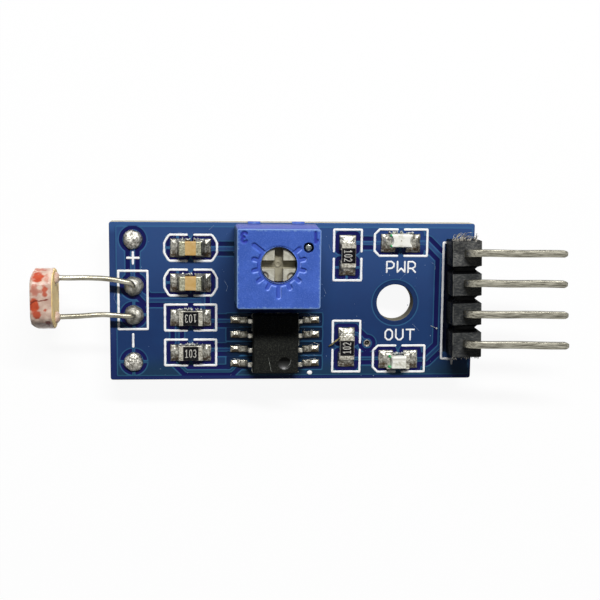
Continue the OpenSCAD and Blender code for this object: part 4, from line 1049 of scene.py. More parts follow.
# Flash left along the moulding's parting line, and two scratches across its top
seams = (
    [(-12.50, -5.93), (-12.36, -5.99), (-12.10, -6.00)], [(-12.51, -5.86), (-12.52, -5.45)],
    [(-8.49, -5.93), (-8.66, -5.99), (-8.95, -6.00)], [(-12.51, -0.88), (-12.52, -1.20)],
    [(-12.52, -1.72), (-12.52, -2.35)], [(-8.48, -1.75), (-8.48, -2.30)],
    [(-8.48, -3.10), (-8.48, -3.60)], [(-12.45, -0.81), (-10.9, -0.80), (-8.55, -0.81)])
scratches = ([(-11.13, -4.57), (-11.02, -5.10), (-10.88, -5.75)], [(-9.19, -4.75), (-9.30, -5.15), (-9.72, -5.56)])
parts = [stroke(path, 0.07, board_t + parting - 0.01, 0.03, 0.3, k) for k, path in enumerate(seams)]
parts += [stroke(path, 0.03, face_z, 0.01, 0.3, k + len(seams)) for k, path in enumerate(scratches)]
# The flash and scratches are painted pale; along the parting ridge the paleness is partly a painted highlight.
flash_and_highlight = two_tone("moulding_flash", "4d504c", "a3a69f", (0.3, 3), (0.4, 0.6), rough=0.5)
make_piece("comparator_flash", parts, flash_and_highlight)

lead_t, foot_z = 0.2, 0.04
parts = []
for side in (-1, 1):
    for y in comparator_rows:
        root, foot = board_t + parting, board_t + foot_z + lead_t / 2
        corners = [(comparator_w / 2 - 0.35, root), (comparator_w / 2 + 0.26, root),
                   (lead_span / 2 - 0.52, foot), (lead_span / 2, foot)]
        path = bend_path([(comparator_at[0] + side * a, y, z) for a, z in corners], 0.14)
        parts.append(bar(path, soft_square(lead_w, lead_t, 0.05)))
plated = Finish("tin_plating", metal=1.0)
# Painted shade: the leads are painted darker just above the board and where they face the board's lower edge.
foot = plated.times(plated.along("Z", board_t + 0.30, board_t + 0.22), plated.along("Z", board_t - 0.10, board_t),
                    plated.ramp(plated.grain(0.30, 3), 0.35, 0.6, 0.25, 0.8))
plated.paint(plated.blend(plated.ramp(plated.grain(0.16, 4), 0.35, 0.65), "6a675d", "bab7ac"),
             (foot, "35332b"),
             (plated.times(plated.ramp(plated.facing("Y"), -0.05, -0.5), 0.8), "2b2924"))
plated.set("Roughness", plated.ramp(plated.grain(0.1, 3), 0.3, 0.7, 0.25, 0.45))
plated.bump(plated.grain(0.12, 3), 0.012)
make_piece("comparator_leads", parts, plated, ["comparator_leads"])

# ---------------------------------------------------------------- trimmer
# A square blue moulding round a cream rotor with a cross slot. The dial's marks and the
# terminal numbers are pressed into its top, and its edges are scuffed pale.
trimmer_at = (-10.5, 3.45)
trimmer_l, trimmer_w, trimmer_h = 6.9, 6.6, 4.88
axis_at = (-10.5, 3.79)
window_r = 1.5
trimmer_z = board_t + trimmer_h
trimmer_round = 0.22
edge = 0.06
x, y = ((middle - size / 2 + edge, middle + size / 2 - edge)
        for middle, size in zip(trimmer_at, (trimmer_l, trimmer_w)))
stud_at, stud_r = (-8.08, 5.24), 0.40
flat, cells, outer, holes = plate(x, y, 0.05,
                                  [(*axis_at, window_r + 0.03), (*stud_at, stud_r + 0.02)])
flat = round_corners(flat, x, y, trimmer_round - edge)
mark_w, mark_l, long_mark_l, mark_depth, digit_depth = 0.40, 0.80, 1.30, 0.11, 0.10
first_mark, mark_step = -218.5, 25.7
groove_r, marks = window_r + 0.02, []
for k in range(11):
    turn = math.radians(first_mark + k * mark_step)
    reach = groove_r + (long_mark_l if k in (0, 5) else mark_l) - mark_w / 2
    path = [(axis_at[0] + r * math.cos(turn), axis_at[1] + r * math.sin(turn)) for r in (groove_r, reach)]
    marks.append(from_line(flat, path, mark_w))
off = flat - axis_at
turn = np.degrees(np.arctan2(off[:, 1], off[:, 0]))
ring = np.where((turn > 36) & (turn < 144), 0.05, 0.28)
carve = closest(marks + [np.hypot(*off.T) - groove_r - ring])
digits = closest(from_line(flat, lettering(text, at, 0.80, 0.7, 0.50, 180)[0], 0.22)
                 for text, at in (("3", (-13.12, 6.46)), ("1", (-7.28, 6.46))))
deep, shallow = (eased(0.5 - field / 0.11) for field in (carve, digits))
height = trimmer_z - mark_depth * deep - digit_depth * shallow + 0.008 * ripple(flat, 1.2, 3)
for loop in [outer] + holes:
    height[loop] = np.where(carve[loop] < 0, height[loop], trimmer_z)
rim = closest([flat[:, 0] - x[0], x[1] - flat[:, 0], flat[:, 1] - y[0], y[1] - flat[:, 1]])
side = [(0, 0), (edge * 0.6, -0.018), (edge, -0.06), (edge + 0.04, -1.5), (edge + 0.08, -3.0),
        (edge + 0.12, -(trimmer_h - 0.38))]
wall = walls(flat[outer], trimmer_z, side)
wall[0][:len(outer), 2] = height[outer]
# Inside: the window's barrel, the cavity round the rotor's flange and the pocket below it
cavity = [(0, 0), (-0.02, -0.01), (-0.03, -0.04), (-0.03, -0.8), (1.1, -0.8), (1.1, -2.94)]
loop = holes[0]
turn = np.arctan2(flat[loop, 1] - axis_at[1], flat[loop, 0] - axis_at[0])
rows = [circle(axis_at, window_r + 0.03 + out, turn, trimmer_z + down) for out, down in cavity]
rows[0][:, 2] = height[loop]
box_x, box_y = trimmer_l / 2 - 0.4, trimmer_w / 2 - 0.4
way = np.column_stack([np.cos(turn), np.sin(turn)])
grow = np.minimum(box_x / np.maximum(np.abs(way[:, 0]), 1e-9), box_y / np.maximum(np.abs(way[:, 1]), 1e-9))
pocket = np.array(trimmer_at) + way * grow[:, None]
rows += [np.column_stack([pocket, np.full(len(turn), board_t + level)]) for level in (1.92, 0.38)]
loop = holes[1]
well = walls(flat[loop], trimmer_z, [(0, 0), (0.015, -0.02), (0.02, -0.05), (0.02, -0.72)])
well[0][:len(loop), 2] = height[loop]
parts = [(np.column_stack([flat, height]), cells), wall, well, lid(well[2]),
         (np.vstack(rows), grid_faces(len(rows), len(turn), wrap=True)), lid(wall[2], rows[-1])]
moulding = Finish("trimmer_blue", Specular_IOR_Level=0.12)
grainy = moulding.grain(0.10, 4, 0.7)
wear, carved = moulding.value("wear"), moulding.value("carve")
rubbed = moulding.times(moulding.ramp(wear, 0.20, 0.0), moulding.ramp(moulding.grain(0.25, 5, 0.7), 0.48, 0.62))
low = moulding.times(moulding.along("Z", board_t + 0.75, board_t + 0.45),
                     moulding.ramp(moulding.grain(0.5, 4), 0.45, 0.6))
scuff = moulding.times(moulding.most(rubbed, moulding.ramp(wear, 0.05, 0.0, 0, 0.75)),
                       moulding.most(moulding.along("Z", trimmer_z - 0.16, trimmer_z - 0.05), low), 0.75)
flank = moulding.times(moulding.ramp(carved, 0.03, -0.02), moulding.ramp(carved, -0.135, -0.085), 0.75)
tilt = moulding.plus(moulding.facing("Y"), moulding.times(moulding.facing("X"), -0.8))
on_wall = moulding.along("Z", trimmer_z - 0.03, trimmer_z - 0.10)
at_back = moulding.times(moulding.ramp(moulding.facing("Y"), 0.6, 0.9), on_wall)
at_left = moulding.times(moulding.ramp(moulding.facing("X"), -0.6, -0.9), on_wall)
moulding.paint(
    moulding.blend(moulding.ramp(moulding.grain(1.6, 3), 0.35, 0.7), "3f5fb6", "496ac6"),
    (moulding.ramp(grainy, 0.50, 0.72, 0, 0.45), "7390da"),
    (moulding.ramp(grainy, 0.48, 0.30, 0, 0.45), "33509f"),
    (scuff, "93b4da"),
    # Painted shade: the walls are painted darker below the top.
    (moulding.along("Z", trimmer_z - 0.20, trimmer_z - 0.30, 0, 0.4), "33509f"),
    # Painted shade and highlight: the marks' flanks are painted dark where they face away from the light and pale
    # where they face it.
    (moulding.times(flank, moulding.ramp(tilt, 0.10, -0.20)), "2b3da0"),
    (moulding.times(flank, moulding.ramp(tilt, 0.15, 0.50)), "93adf8"),
    # Painted shade: the floors of the marks and of the numbers are painted darker.
    (moulding.ramp(carved, -0.05, -0.16, 0, 0.45), "3a4cb4"),
    (moulding.times(moulding.value("digit"), 0.95), "2f3a9c"),
    # Painted shade on the walls: the back wall is painted a darker blue and the left wall dark teal.
    (moulding.times(at_back, 0.62), "3340a4"),
    (moulding.times(at_left, 0.80), "23404c"),
    # A pale line at the foot of the left wall is painted light.
    (moulding.times(moulding.along("Z", board_t + 0.85, board_t + 0.70), at_left, 0.8), "a9bcb4"))
moulding.set("Roughness", moulding.ramp(grainy, 0.3, 0.7, 0.36, 0.52))
moulding.bump(moulding.plus(grainy, moulding.grain(0.5, 2)), 0.012)
make_piece("trimmer_housing", parts, moulding, ["trimmer_housing"],
           {"wear": (rim, 0), "carve": (carve, 9), "digit": (shallow, 0)})


def block(x, y, z, r=0.05):
    """A box with its upright edges rounded by r and its upper and lower edges eased."""
    outline = soft_square(x[1] - x[0], y[1] - y[0], r) + [(x[0] + x[1]) / 2, (y[0] + y[1]) / 2]
    ease = min(r, 0.3 * (z[1] - z[0]))
    middle = outline.mean(0)
    rows = []
    for level, draw_in in ((z[0], ease), (z[0] + ease, 0), (z[1] - ease, 0), (z[1], ease)):
        shrink = 1 - draw_in / np.maximum(np.abs(outline - middle).max(0), 1e-9)
        rows.append(np.column_stack([middle + (outline - middle) * shrink, np.full(len(outline), level)]))
    return np.vstack(rows), tube_faces(4, len(outline))


foot_size, foot_h, proud = (1.1, 0.5), 0.38, 0.3
parts = []
for right in (-1, 1):
    for up in (-1, 1):
        x = trimmer_at[0] + right * (trimmer_l / 2 - 1.55)
        ends = sorted(trimmer_at[1] + up * (trimmer_w / 2 + past) for past in (proud, -foot_size[1]))
        parts.append(block((x - foot_size[0] / 2, x + foot_size[0] / 2), ends, (board_t, board_t + foot_h + 0.02)))
make_piece("trimmer_feet", parts, moulding, values={"wear": ((), 0), "carve": ((), 9)})

# The rotor is a cream moulding. Its head has a cross slot with a nub at the middle and two
# small marks left by the mould's ejector pins.
rotor_r, rotor_drop, slot_w, slot_depth = 1.45, 0.28, 0.67, 0.70
head_z = trimmer_z - rotor_drop
n = 110
u, v = np.meshgrid(np.linspace(-1, 1, n), np.linspace(-1, 1, n), indexing="ij")
far = np.hypot(u, v)
disc = np.stack([u, v], -1) * (np.maximum(np.abs(u), np.abs(v)) / np.maximum(far, 1e-9))[..., None]
flat = disc.reshape(-1, 2) * (rotor_r - 0.05)
arms = ((-2, 2), (-slot_w / 2, slot_w / 2))
cross = closest(from_box(flat, *arm, 0.02) for arm in (arms, arms[::-1]))
sink = eased(0.5 - cross / 0.07)
raised, dimpled = (np.clip(-from_disc(flat, (-0.05, 0), r) / soft, 0, 1) for r, soft in ((0.30, 0.06), (0.15, 0.05)))
nub = raised - 0.8 * dimpled
marks = sum(np.clip(-from_disc(flat, at, 0.43) / 0.20, 0, 1) for at in ((-1.22, -0.95), (1.06, -1.03)))
height = head_z - slot_depth * sink + 0.05 * nub * sink - 0.16 * marks * (1 - sink) + 0.01 * ripple(flat, 0.7, 2)
top = np.column_stack([flat + axis_at, height])
loop = top[border(np.arange(n * n).reshape(n, n))]
turn = np.arctan2(loop[:, 1] - axis_at[1], loop[:, 0] - axis_at[0])
flange_top, flange_z, flange_r = board_t + 3.40, board_t + 2.36, 2.25
rows = [loop] + [circle(axis_at, r, turn, np.minimum(loop[:, 2], head_z) - drop)
                 for r, drop in ((rotor_r - 0.015, 0.02), (rotor_r, 0.06), (rotor_r, 0.75))]
rows += [circle(axis_at, r, turn, z)
         for r, z in ((rotor_r, flange_top), (flange_r, flange_top), (flange_r, flange_z))]
parts = [(top, grid_faces(n, n)), (np.vstack(rows), grid_faces(len(rows), len(turn), wrap=True)), lid(rows[-1])]


def sector(centre, r0, r1, z0, z1, middle, half, around=24):
    """A piece of a ring between two radii and two heights, over an angle to each side of its middle."""
    a = np.radians(np.linspace(middle - half, middle + half, around))
    section = ((r0, z0), (r1, z0), (r1, z1), (r0, z1))
    points = np.stack([circle(centre, r, a, z) for r, z in section], 1)
    return points.reshape(-1, 3), tube_faces(around, 4)


parts.append(sector(axis_at, flange_r - 0.3, 2.48, flange_z, flange_top - 0.1, -90, 18))
cream = Finish("rotor_cream", Specular_IOR_Level=0.12)
# Painted shade: the ejector marks' flanks are painted brown and the slot darker, as shade in the hollows.
cream.paint(cream.blend(cream.ramp(cream.grain(0.45, 4, 0.6), 0.4, 0.7), "adaa9a", "c9c7b8"),
            (cream.times(cream.value("mark"), 0.75), "7a683e"),
            (cream.value("slot"), cream.blend(cream.grain(0.5, 2), "837d69", "a8a38f")))
cream.bump(cream.grain(0.12, 3), 0.008)
make_piece("trimmer_rotor", parts, cream, ["trimmer_rotor"],
           {"slot": (sink, 0), "mark": (4 * marks * (1 - marks) * (1 - sink), 0)}, body="rotor")
make_piece("trimmer_stop", [sector(axis_at, 2.3, 2.62, flange_z, flange_top, 90, 31)], moulding,
           values={"wear": ((), 9), "carve": ((), 9)})

# What lies inside the trimmer: a spring wiper under the rotor, the resistive track on its
# ceramic plate, a rubber seal round the rotor and grey potting below.
spring = two_tone("wiper_spring", "b79a5c", "d8c084", (0.4, 3), rough=0.3, metal=1.0)
dress(spring, "trimmer_wiper", edge=0.01)
cermet = two_tone("cermet", "1f1b19", "352f2b", (0.2, 4), rough=0.55)
dress(cermet, "trimmer_track")
dress(white_ceramic, "trimmer_element", edge=0.02)
rubber = two_tone("seal_rubber", "161616", "262626", (0.5, 3), rough=0.7)
dress(rubber, "trimmer_seal")
potting = two_tone("potting", "595d66", "747883", (0.8, 3), bump=(0.4, 3, 0.02), rough=0.5)
dress(potting, "trimmer_potting")
dress(plated, "trimmer_pin_1", "trimmer_pin_2", "trimmer_pin_3", edge=0.03)
polished = two_tone("bright_stud", "4c524f", "8e9492", (0.25, 3), (0.35, 0.7), rough=0.16, metal=1.0)
stud = dome(stud_at, 0.385, trimmer_z - 0.03, trimmer_z - 0.42, 0.0, 1, rings=24, power=3.4)
make_piece("trimmer_stud", [stud], polished, ["trimmer_stud"])

# ---------------------------------------------------------------- photoresistor
# A pressed ceramic disc with two flats, dipped in a clear coat that runs back over its rim.
# Orange and dark red stains of the light-sensitive powder show through the coat. Two tinned
# leads run back from it, ease towards each other and bend down into the board.
disc_at, disc_z, disc_r, flat_half = (-29.10, 0.53), 2.6, 2.55, 2.15
disc_face, coat_face, coat_back = -30.55, -30.95, -29.17


def disc_outline(turn, inset=0.0):
    """Distance from the disc's axis to its rim: a circle, cut straight where it would stand
    more than the flat's half width up or down, with the two forms blended softly."""
    straight = flat_half / np.maximum(np.abs(np.sin(turn)), 1e-6)
    blend = 26.0
    return (disc_r ** -blend + straight ** -blend) ** (-1 / blend) - inset


def disc_body(section, around, rough=0.0, seed=0):
    """Carries a section of (x, inset) points round the disc's outline. The first and the last
    row close on the axis."""
    turn = np.linspace(0, 2 * math.pi, around, endpoint=False)
    rows = []
    for level, inset in section:
        r = disc_outline(turn, inset) if inset is not None else np.full(around, 0.0)
        rows.append(np.column_stack([np.full(around, level), disc_at[1] + r * np.cos(turn),
                                     disc_z + r * np.sin(turn)]))
    rows = np.stack(rows)
    bumps = rough * ripple(rows.reshape(-1, 3), 0.5, seed).reshape(rows.shape[:2])
    bumps[[0, -1]] = 0
    rows[..., 1:] += (rows[..., 1:] - [disc_at[1], disc_z]) / disc_r * bumps[..., None]
    return rows.reshape(-1, 3), grid_faces(len(section), around, wrap=True)


around = 260
section = [(disc_at[0], inset) for inset in (None, 2.0, 1.2, 0.5, 0.2, 0.09)]
section += [(-29.12, 0.05), (-29.17, 0.03), (-29.4, 0.03), (-30.0, 0.05), (-30.5, 0.07)]
section += [(disc_face, inset) for inset in (0.12, 1.0, None)]
biscuit = Finish("photoresistor_ceramic", rough=0.62)
baked = biscuit.ramp(biscuit.grain(0.5, 4, 0.6, stretch=(0.6, 1.6, 1)), 0.35, 0.7)
biscuit.paint(biscuit.blend(baked, "f3cf86", "ffe7a6"),
              (biscuit.ramp(biscuit.grain(0.25, 3), 0.62, 0.75, 0, 0.5), "9a8450"))
biscuit.bump(biscuit.grain(0.12, 4), 0.012)
make_piece("photoresistor_disc", [disc_body(section, around, 0.012, 2)], biscuit, ["photoresistor_disc"])

# The stains, as (x, y) centre and half size on the rim seen from above, and how dark
stains = [
    ((-30.32, 2.52), (0.50, 0.34), 1.0), ((-30.50, 1.50), (0.38, 0.52), 0.6), ((-30.05, 1.36), (0.40, 0.20), 0.6),
    ((-29.72, 1.42), (0.27, 0.48), 0.9), ((-30.56, 0.16), (0.40, 0.66), 1.0), ((-30.36, -0.60), (0.26, 0.38), 0.95),
    ((-29.62, -0.14), (0.13, 0.17), 0.9), ((-30.30, 3.02), (0.70, 0.10), 0.8), ((-29.60, 2.45), (0.20, 0.34), 0.45),
]
section = [(-29.9, None), (-29.9, 0.5), (coat_back - 0.1, 0.12), (coat_back, 0.03)]
section += [(level, 0.0) for level in np.linspace(coat_back, -30.80, 22)]
section += [(-30.88, 0.03), (-30.93, 0.10)] + [(coat_face, inset) for inset in (0.22, 0.8, 1.5, None)]
points, faces = disc_body(section, around, 0.02, 6)
edge_run = 0.05 * ripple(points[:, 1:], 0.6, 3)
points[:, 0] += np.where(points[:, 0] > -29.9, 0.3 * edge_run, 0)
bevel = np.maximum(0.95 * (disc_at[1] - 1.95 - points[:, 1]), 0.35 * (points[:, 1] - disc_at[1] - 1.85))
points[:, 0] = np.maximum(points[:, 0], np.minimum(coat_face + bevel, -30.2))
wander = np.column_stack([0.13 * ripple(points, 0.30, 2), 0.13 * ripple(points, 0.30, 5)])
flat = points[:, :2] + wander
stain = np.zeros(len(points))
for at, half, dark in stains:
    off = (flat - at) / half
    stain = np.maximum(stain, dark * np.clip((1.15 - np.hypot(*off.T)) / 0.35, 0, 1))
crack = from_line(flat, [(-30.80, 0.42), (-30.35, 0.60), (-29.85, 0.66), (-29.42, 0.74)], 0.11)
notch = np.hypot(*((flat - (-29.50, -1.36)) / (0.17, 0.26)).T)
crack = np.maximum(np.clip(-crack / 0.04 + 1, 0, 1), np.clip(1.1 - notch, 0, 1) * 3)
crack = np.where(points[:, 2] > disc_z - 0.5, np.clip(crack, 0, 1), 0)
below = points[:, 2] < disc_z
stain = np.where(below, np.clip(ripple(points, 0.9, 9) * 2 - 0.5, 0, 0.8), stain)
lacquer = Finish("clear_coat", rough=0.28, Specular_IOR_Level=0.3)
lacquer.paint(lacquer.blend(lacquer.ramp(lacquer.grain(0.8, 3), 0.35, 0.7), "c5a594", "e5cebc"),
              (lacquer.ramp(lacquer.grain(0.3, 3), 0.6, 0.75, 0, 0.5), "d49a86"),
              (lacquer.value("stain"), lacquer.blend(lacquer.grain(0.35, 3), "982b13", "d75d37")),
              (lacquer.value("crack"), "7a2815"))
lacquer.bump(lacquer.grain(0.6, 2), 0.05)
make_piece("photoresistor_coat", [(points, faces)], lacquer, ["photoresistor_coat"],
           {"stain": (stain, 0), "crack": (crack, 0)})
powder = two_tone("light_sensitive_powder", "c14f2a", "dd7a4a", (0.3, 4), rough=0.8)
dress(powder, "photoresistor_track")
dress(plated, "photoresistor_electrodes")

# Each lead: its joint, how far beside it the lead starts, its y at the disc's rim and in its
# seal, and which way it bows
lead_r, bend_r, seal_y = 0.225, 0.42, (2.27, -1.08)
turn = np.linspace(0, 2 * math.pi, 20, endpoint=False)
round_profile = lead_r * np.column_stack([np.cos(turn), np.sin(turn)])
parts = []
for joint, shift, edge_y, far_y, bow in ((joints_at[0], 0.38, 2.24, seal_y[0], 1),
                                         (joints_at[1], 0.02, -0.86, seal_y[1], -1)):
    run_x = np.linspace(joint[0] - bend_r, disc_at[0] - 0.5, 40)
    near_y = joint[1] + shift
    run_y = near_y + (edge_y - near_y) * np.sin(np.clip((joint[0] - run_x) / 3.0, 0, 1) * math.pi / 2) ** 1.3
    into_seal = np.clip((joint[0] - 2.2 - run_x) / 4.0, 0, 1)
    run_y = run_y + (far_y - edge_y) * into_seal + 0.012 * np.sin(run_x * 2.1 + bow)
    run = np.column_stack([run_x, run_y, disc_z + 0.02 * np.sin(run_x * 1.3)])
    a = np.radians(np.linspace(0, 82, 10))
    bend = np.column_stack([joint[0] - bend_r * (1 - np.cos(a)), joint[1] + (run_y[0] - joint[1]) * np.sin(a),
                            disc_z - bend_r + bend_r * np.sin(a)])
    rise = np.column_stack([np.full(6, joint[0]), np.full(6, joint[1]), np.linspace(tail, disc_z - bend_r - 0.1, 6)])
    parts.append(bar(np.vstack([rise, bend, run]), round_profile))
wire = Finish("tinned_wire", metal=1.0)
wire.paint(wire.blend(wire.ramp(wire.grain(0.5, 4, 0.6, stretch=(4, 1, 1)), 0.35, 0.68), "757061", "a5a294"))
wire.set("Roughness", wire.ramp(wire.grain(0.2, 3), 0.3, 0.7, 0.24, 0.42))
wire.bump(wire.grain(0.25, 3, stretch=(5, 1, 1)), 0.02)
make_piece("photoresistor_leads", parts, wire, ["photoresistor_lead_upper", "photoresistor_lead_lower"])
lump, lump_faces = dome((0, 0), 0.55, 0.40, -0.1, 0.03, 3, rings=12, around=36)
parts = [(np.column_stack([disc_at[0] + lump[:, 2], y - 0.04 + lump[:, 1], disc_z + lump[:, 0]]), lump_faces)
         for y in seal_y]
make_piece("photoresistor_seals", parts, lacquer)

# ---------------------------------------------------------------- header
# A black strip of four eight-sided blocks with steep grooves where they would break apart. The
# square tin-plated pins are bent over the board's edge. It was soldered on a little askew, its
# pins were bent by hand, and its cut ends are frayed.
strip_at, strip_w, strip_l, strip_h = (5.8, 0.5), 2.54, 10.06, 2.54
strip_turn, strip_slip = 1.5, (0.0, 0.12)
notch_at, notch_out, notch_half, groove_depth, groove_floor = (2.54, 0.0, -2.54), 0.43, 0.34, 0.70, 0.18


def askew(points):
    """Turns the header's points about the strip's middle and slips them along the board."""
    points = np.array(points, float)
    points[:, :2] = turned(points[:, :2] - strip_at, strip_turn, np.add(strip_at, strip_slip))
    return points


def rounded(share):
    """How far a quarter circle of radius 1 has fallen away at a share of its run, from 0 to 1."""
    return 1 - np.sqrt(1 - np.clip(share, 0, 1) ** 2)


near_groove = np.array([0, 0.09, 0.18, 0.24, 0.30, 0.34])
end = strip_l / 2
level_y = np.concatenate([[-end, -end + 0.03, -end + 0.08], np.linspace(-end + 0.15, end - 0.15, 90),
                          [end - 0.08, end - 0.03, end],
                          *[at + way * near_groove for at in notch_at for way in (-1, 1)]])
level_y = np.unique(np.round(level_y, 4))
near_notch = np.min(np.abs(level_y[:, None] - np.array(notch_at)), axis=1)
end_round = 0.06
half_w = strip_w / 2 - notch_out * np.clip(1 - near_notch / notch_half, 0, 1)
half_w = half_w - end_round * rounded((np.abs(level_y) - end + end_round) / end_round)
dip = groove_depth * np.clip((notch_half - near_notch) / (notch_half - groove_floor), 0, 1)
across = np.concatenate([[-1.0, -0.985, -0.95], np.linspace(-0.9, 0.9, 25), [0.95, 0.985, 1.0]])
edge_drop = 0.07 * rounded((np.abs(across) - 0.95) / 0.05)
gy, gx = np.meshgrid(level_y, across, indexing="ij")
flat = np.column_stack([(gx * half_w[:, None]).ravel(), gy.ravel()])
torn = np.abs(ripple(flat * (0.3, 1), 0.12, 8)) * (np.abs(flat[:, 1]) > end - 0.4)
rub = 0.012 * ripple(flat, 0.5, 4) + 0.02 * torn
end_drop = 0.05 * ((np.abs(level_y) - end + 0.05) / 0.05).clip(0, 1) ** 2
top = strip_h - dip[:, None] - edge_drop[None, :] - end_drop[:, None]
rows, cols = len(level_y), len(across)
rim = border(np.arange(rows * cols).reshape(rows, cols))
upper = np.column_stack([flat + strip_at, board_t + top.ravel() - rub])
lower = np.column_stack([flat + strip_at, board_t + np.repeat(dip, cols)])
points, faces = join((upper, grid_faces(rows, cols)), (lower, grid_faces(rows, cols)),
                     (np.vstack([upper[rim], lower[rim]]), grid_faces(2, len(rim), wrap=True)))
black = Finish("header_black", Specular_IOR_Level=0.06)
on_top = black.times(black.ramp(black.facing("Z"), 0.6, 0.95), black.ramp(black.value("groove"), 0.15, 0.02))
scratch = black.ramp(black.grain(0.16, 5, 0.7, stretch=(2.2, 1, 1)), 0.42, 0.68)
dark = black.layers(
    black.blend(black.ramp(black.grain(0.3, 5, 0.7), 0.55, 0.75), "040405", "1e2021"),
    # Painted shade: the left-facing walls are painted darker still.
    (black.ramp(black.facing("X"), -0.5, -0.9, 0, 0.75), "020406"))
grey = black.layers(
    black.blend(scratch, "464748", "767672"),
    (black.ramp(black.grain(1.1, 3), 0.38, 0.62), black.blend(scratch, "303132", "545451")),
    (black.along("Y", 2.8, 3.3, 0.42, 0), "1c2023"),
    (black.ramp(black.value("rim"), 0.3, 1.0, 0, 0.8), "85857f"))
black.paint(dark, (on_top, grey))
black.set("Roughness", black.ramp(scratch, 0, 1, 0.40, 0.62))
black.bump(black.plus(scratch, black.grain(0.4, 3)), 0.012)
# The tops' long outer edges are painted paler in patches.
pale_rim_patches = np.clip((np.abs(gx) - 0.93) / 0.03, 0, 1).ravel() * (0.4 + 0.6 * (ripple(flat, 0.5, 6) > -0.3))
make_piece("header_blocks", [(askew(points), faces)], black, ["header_strip"],
           {"groove": (np.tile(np.repeat(dip / groove_depth, cols), 2), 0), "rim": (pale_rim_patches, 0)})

# Each pin: its height, how far its arm leans over at the root and at the tip, and its tip
pin_w, arm_z, pin_bend, tip_l = 0.60, 5.09, 0.75, 0.32
arms = ((4.31, 0.40, 0.36, 14.10), (1.77, 0.38, 0.32, 14.20), (-0.77, 0.26, 0.20, 14.38), (-3.31, 0.20, 0.08, 14.56))
parts = []
for k, (y, root, far, tip_x) in enumerate(arms):
    a = np.radians(np.linspace(0, 90, 14))
    foot = askew([(header_x, y, 0)])[0]
    foot[:2] = foot[:2] * 0.5 + np.array([header_x, y]) * 0.5
    rise_z = np.concatenate([np.linspace(tail, board_t, 4), np.linspace(board_t + 0.4, arm_z - pin_bend - 0.05, 8)])
    lift = np.clip((rise_z - board_t) / (arm_z - board_t), 0, 1) ** 1.6
    rise = np.column_stack([np.full(12, foot[0]), foot[1] + (y + root - foot[1]) * lift, rise_z])
    lift = ((arm_z - pin_bend + pin_bend * np.sin(a) - board_t) / (arm_z - board_t)) ** 1.6
    bend = np.column_stack([foot[0] + pin_bend * (1 - np.cos(a)), foot[1] + (y + root - foot[1]) * lift,
                            arm_z - pin_bend + pin_bend * np.sin(a)])
    arm_x = np.concatenate([np.linspace(foot[0] + pin_bend + 0.05, tip_x - tip_l, 40),
                            [tip_x - 0.26, tip_x - 0.10, tip_x]])
    t = (arm_x - arm_x[0]) / (arm_x[-1] - arm_x[0])
    arm = np.column_stack([arm_x, y + root + (far - root) * t + 0.015 * np.sin(arm_x * 1.1 + k),
                           np.full(len(arm_x), arm_z)])
    path = np.vstack([rise, bend, arm])
    wobble = 1 + 0.006 * ripple(path, 1.1, k)
    narrow = np.ones(len(path))
    narrow[-3:] = (0.96, 0.74, 0.50)
    narrow[:1] = 0.7
    parts.append(bar(path, soft_square(pin_w, pin_w, 0.06)[None] * (wobble * narrow)[:, None, None]))
steel = Finish("pin_plating", metal=1.0)
streak = steel.grain(0.09, 5, 0.7, stretch=(16, 1, 1))
steel.paint(steel.blend(steel.ramp(streak, 0.36, 0.62), "57544a", "9f9c8e"))
steel.set("Roughness", steel.ramp(streak, 0.3, 0.7, 0.28, 0.46))
steel.bump(steel.plus(streak, steel.times(steel.grain(0.08, 3), 0.4)), 0.012)
make_piece("header_pins", parts, steel, [f"header_pin_{k}" for k in range(1, 5)])

# Crumpled fibres of the cut plastic stand at the strip's ends. Each tuft: where along x it
# starts, its y, which way it points, how many fibres, how long, and how far they lean over
draw = np.random.default_rng(7)
parts = []
tufts = (((4.45, 5.3), 5.60, 1, 30, 1.15, 0.75), ((5.3, 6.0), 5.60, 1, 12, 0.55, 0.3),
         ((6.35, 6.75), 5.60, 1, 12, 0.80, -0.1), ((4.7, 7.1), -4.42, -1, 40, 0.22, 0.0))
for (x0, x1), y0, way, count, long, lean_over in tufts:
    for _ in range(count):
        start = np.array([draw.uniform(x0, x1), y0 - way * 0.08, board_t + draw.uniform(1.6, 2.5)])
        reach = draw.uniform(0.35, 1.0) * long
        t = np.linspace(0, 1, 12)[:, None]
        sway = draw.uniform(-1, 1, 3) * [0.45, 0.25, 0.25] + [lean_over, 0, 0]
        curl = draw.uniform(0.04, 0.11)
        curl = curl * np.column_stack([np.sin(t * draw.uniform(6, 14)), np.cos(t * 9), np.sin(t * 8)])
        droop = np.column_stack([0 * t, -0.35 * way * reach * abs(lean_over) * t, 0 * t])
        path = start + t * (np.array([0, way * reach, 0]) + sway * reach) + curl * t + droop * t
        parts.append(bar(path, soft_square(0.065, 0.05, 0.015, 2)[None] * (1.1 - 0.6 * t)[..., None], (0, 0, 1)))
fray = two_tone("frayed_plastic", "4a4741", "c6c1b6", (0.25, 3), (0.35, 0.65), rough=0.6)
make_piece("header_fibres", parts, fray)

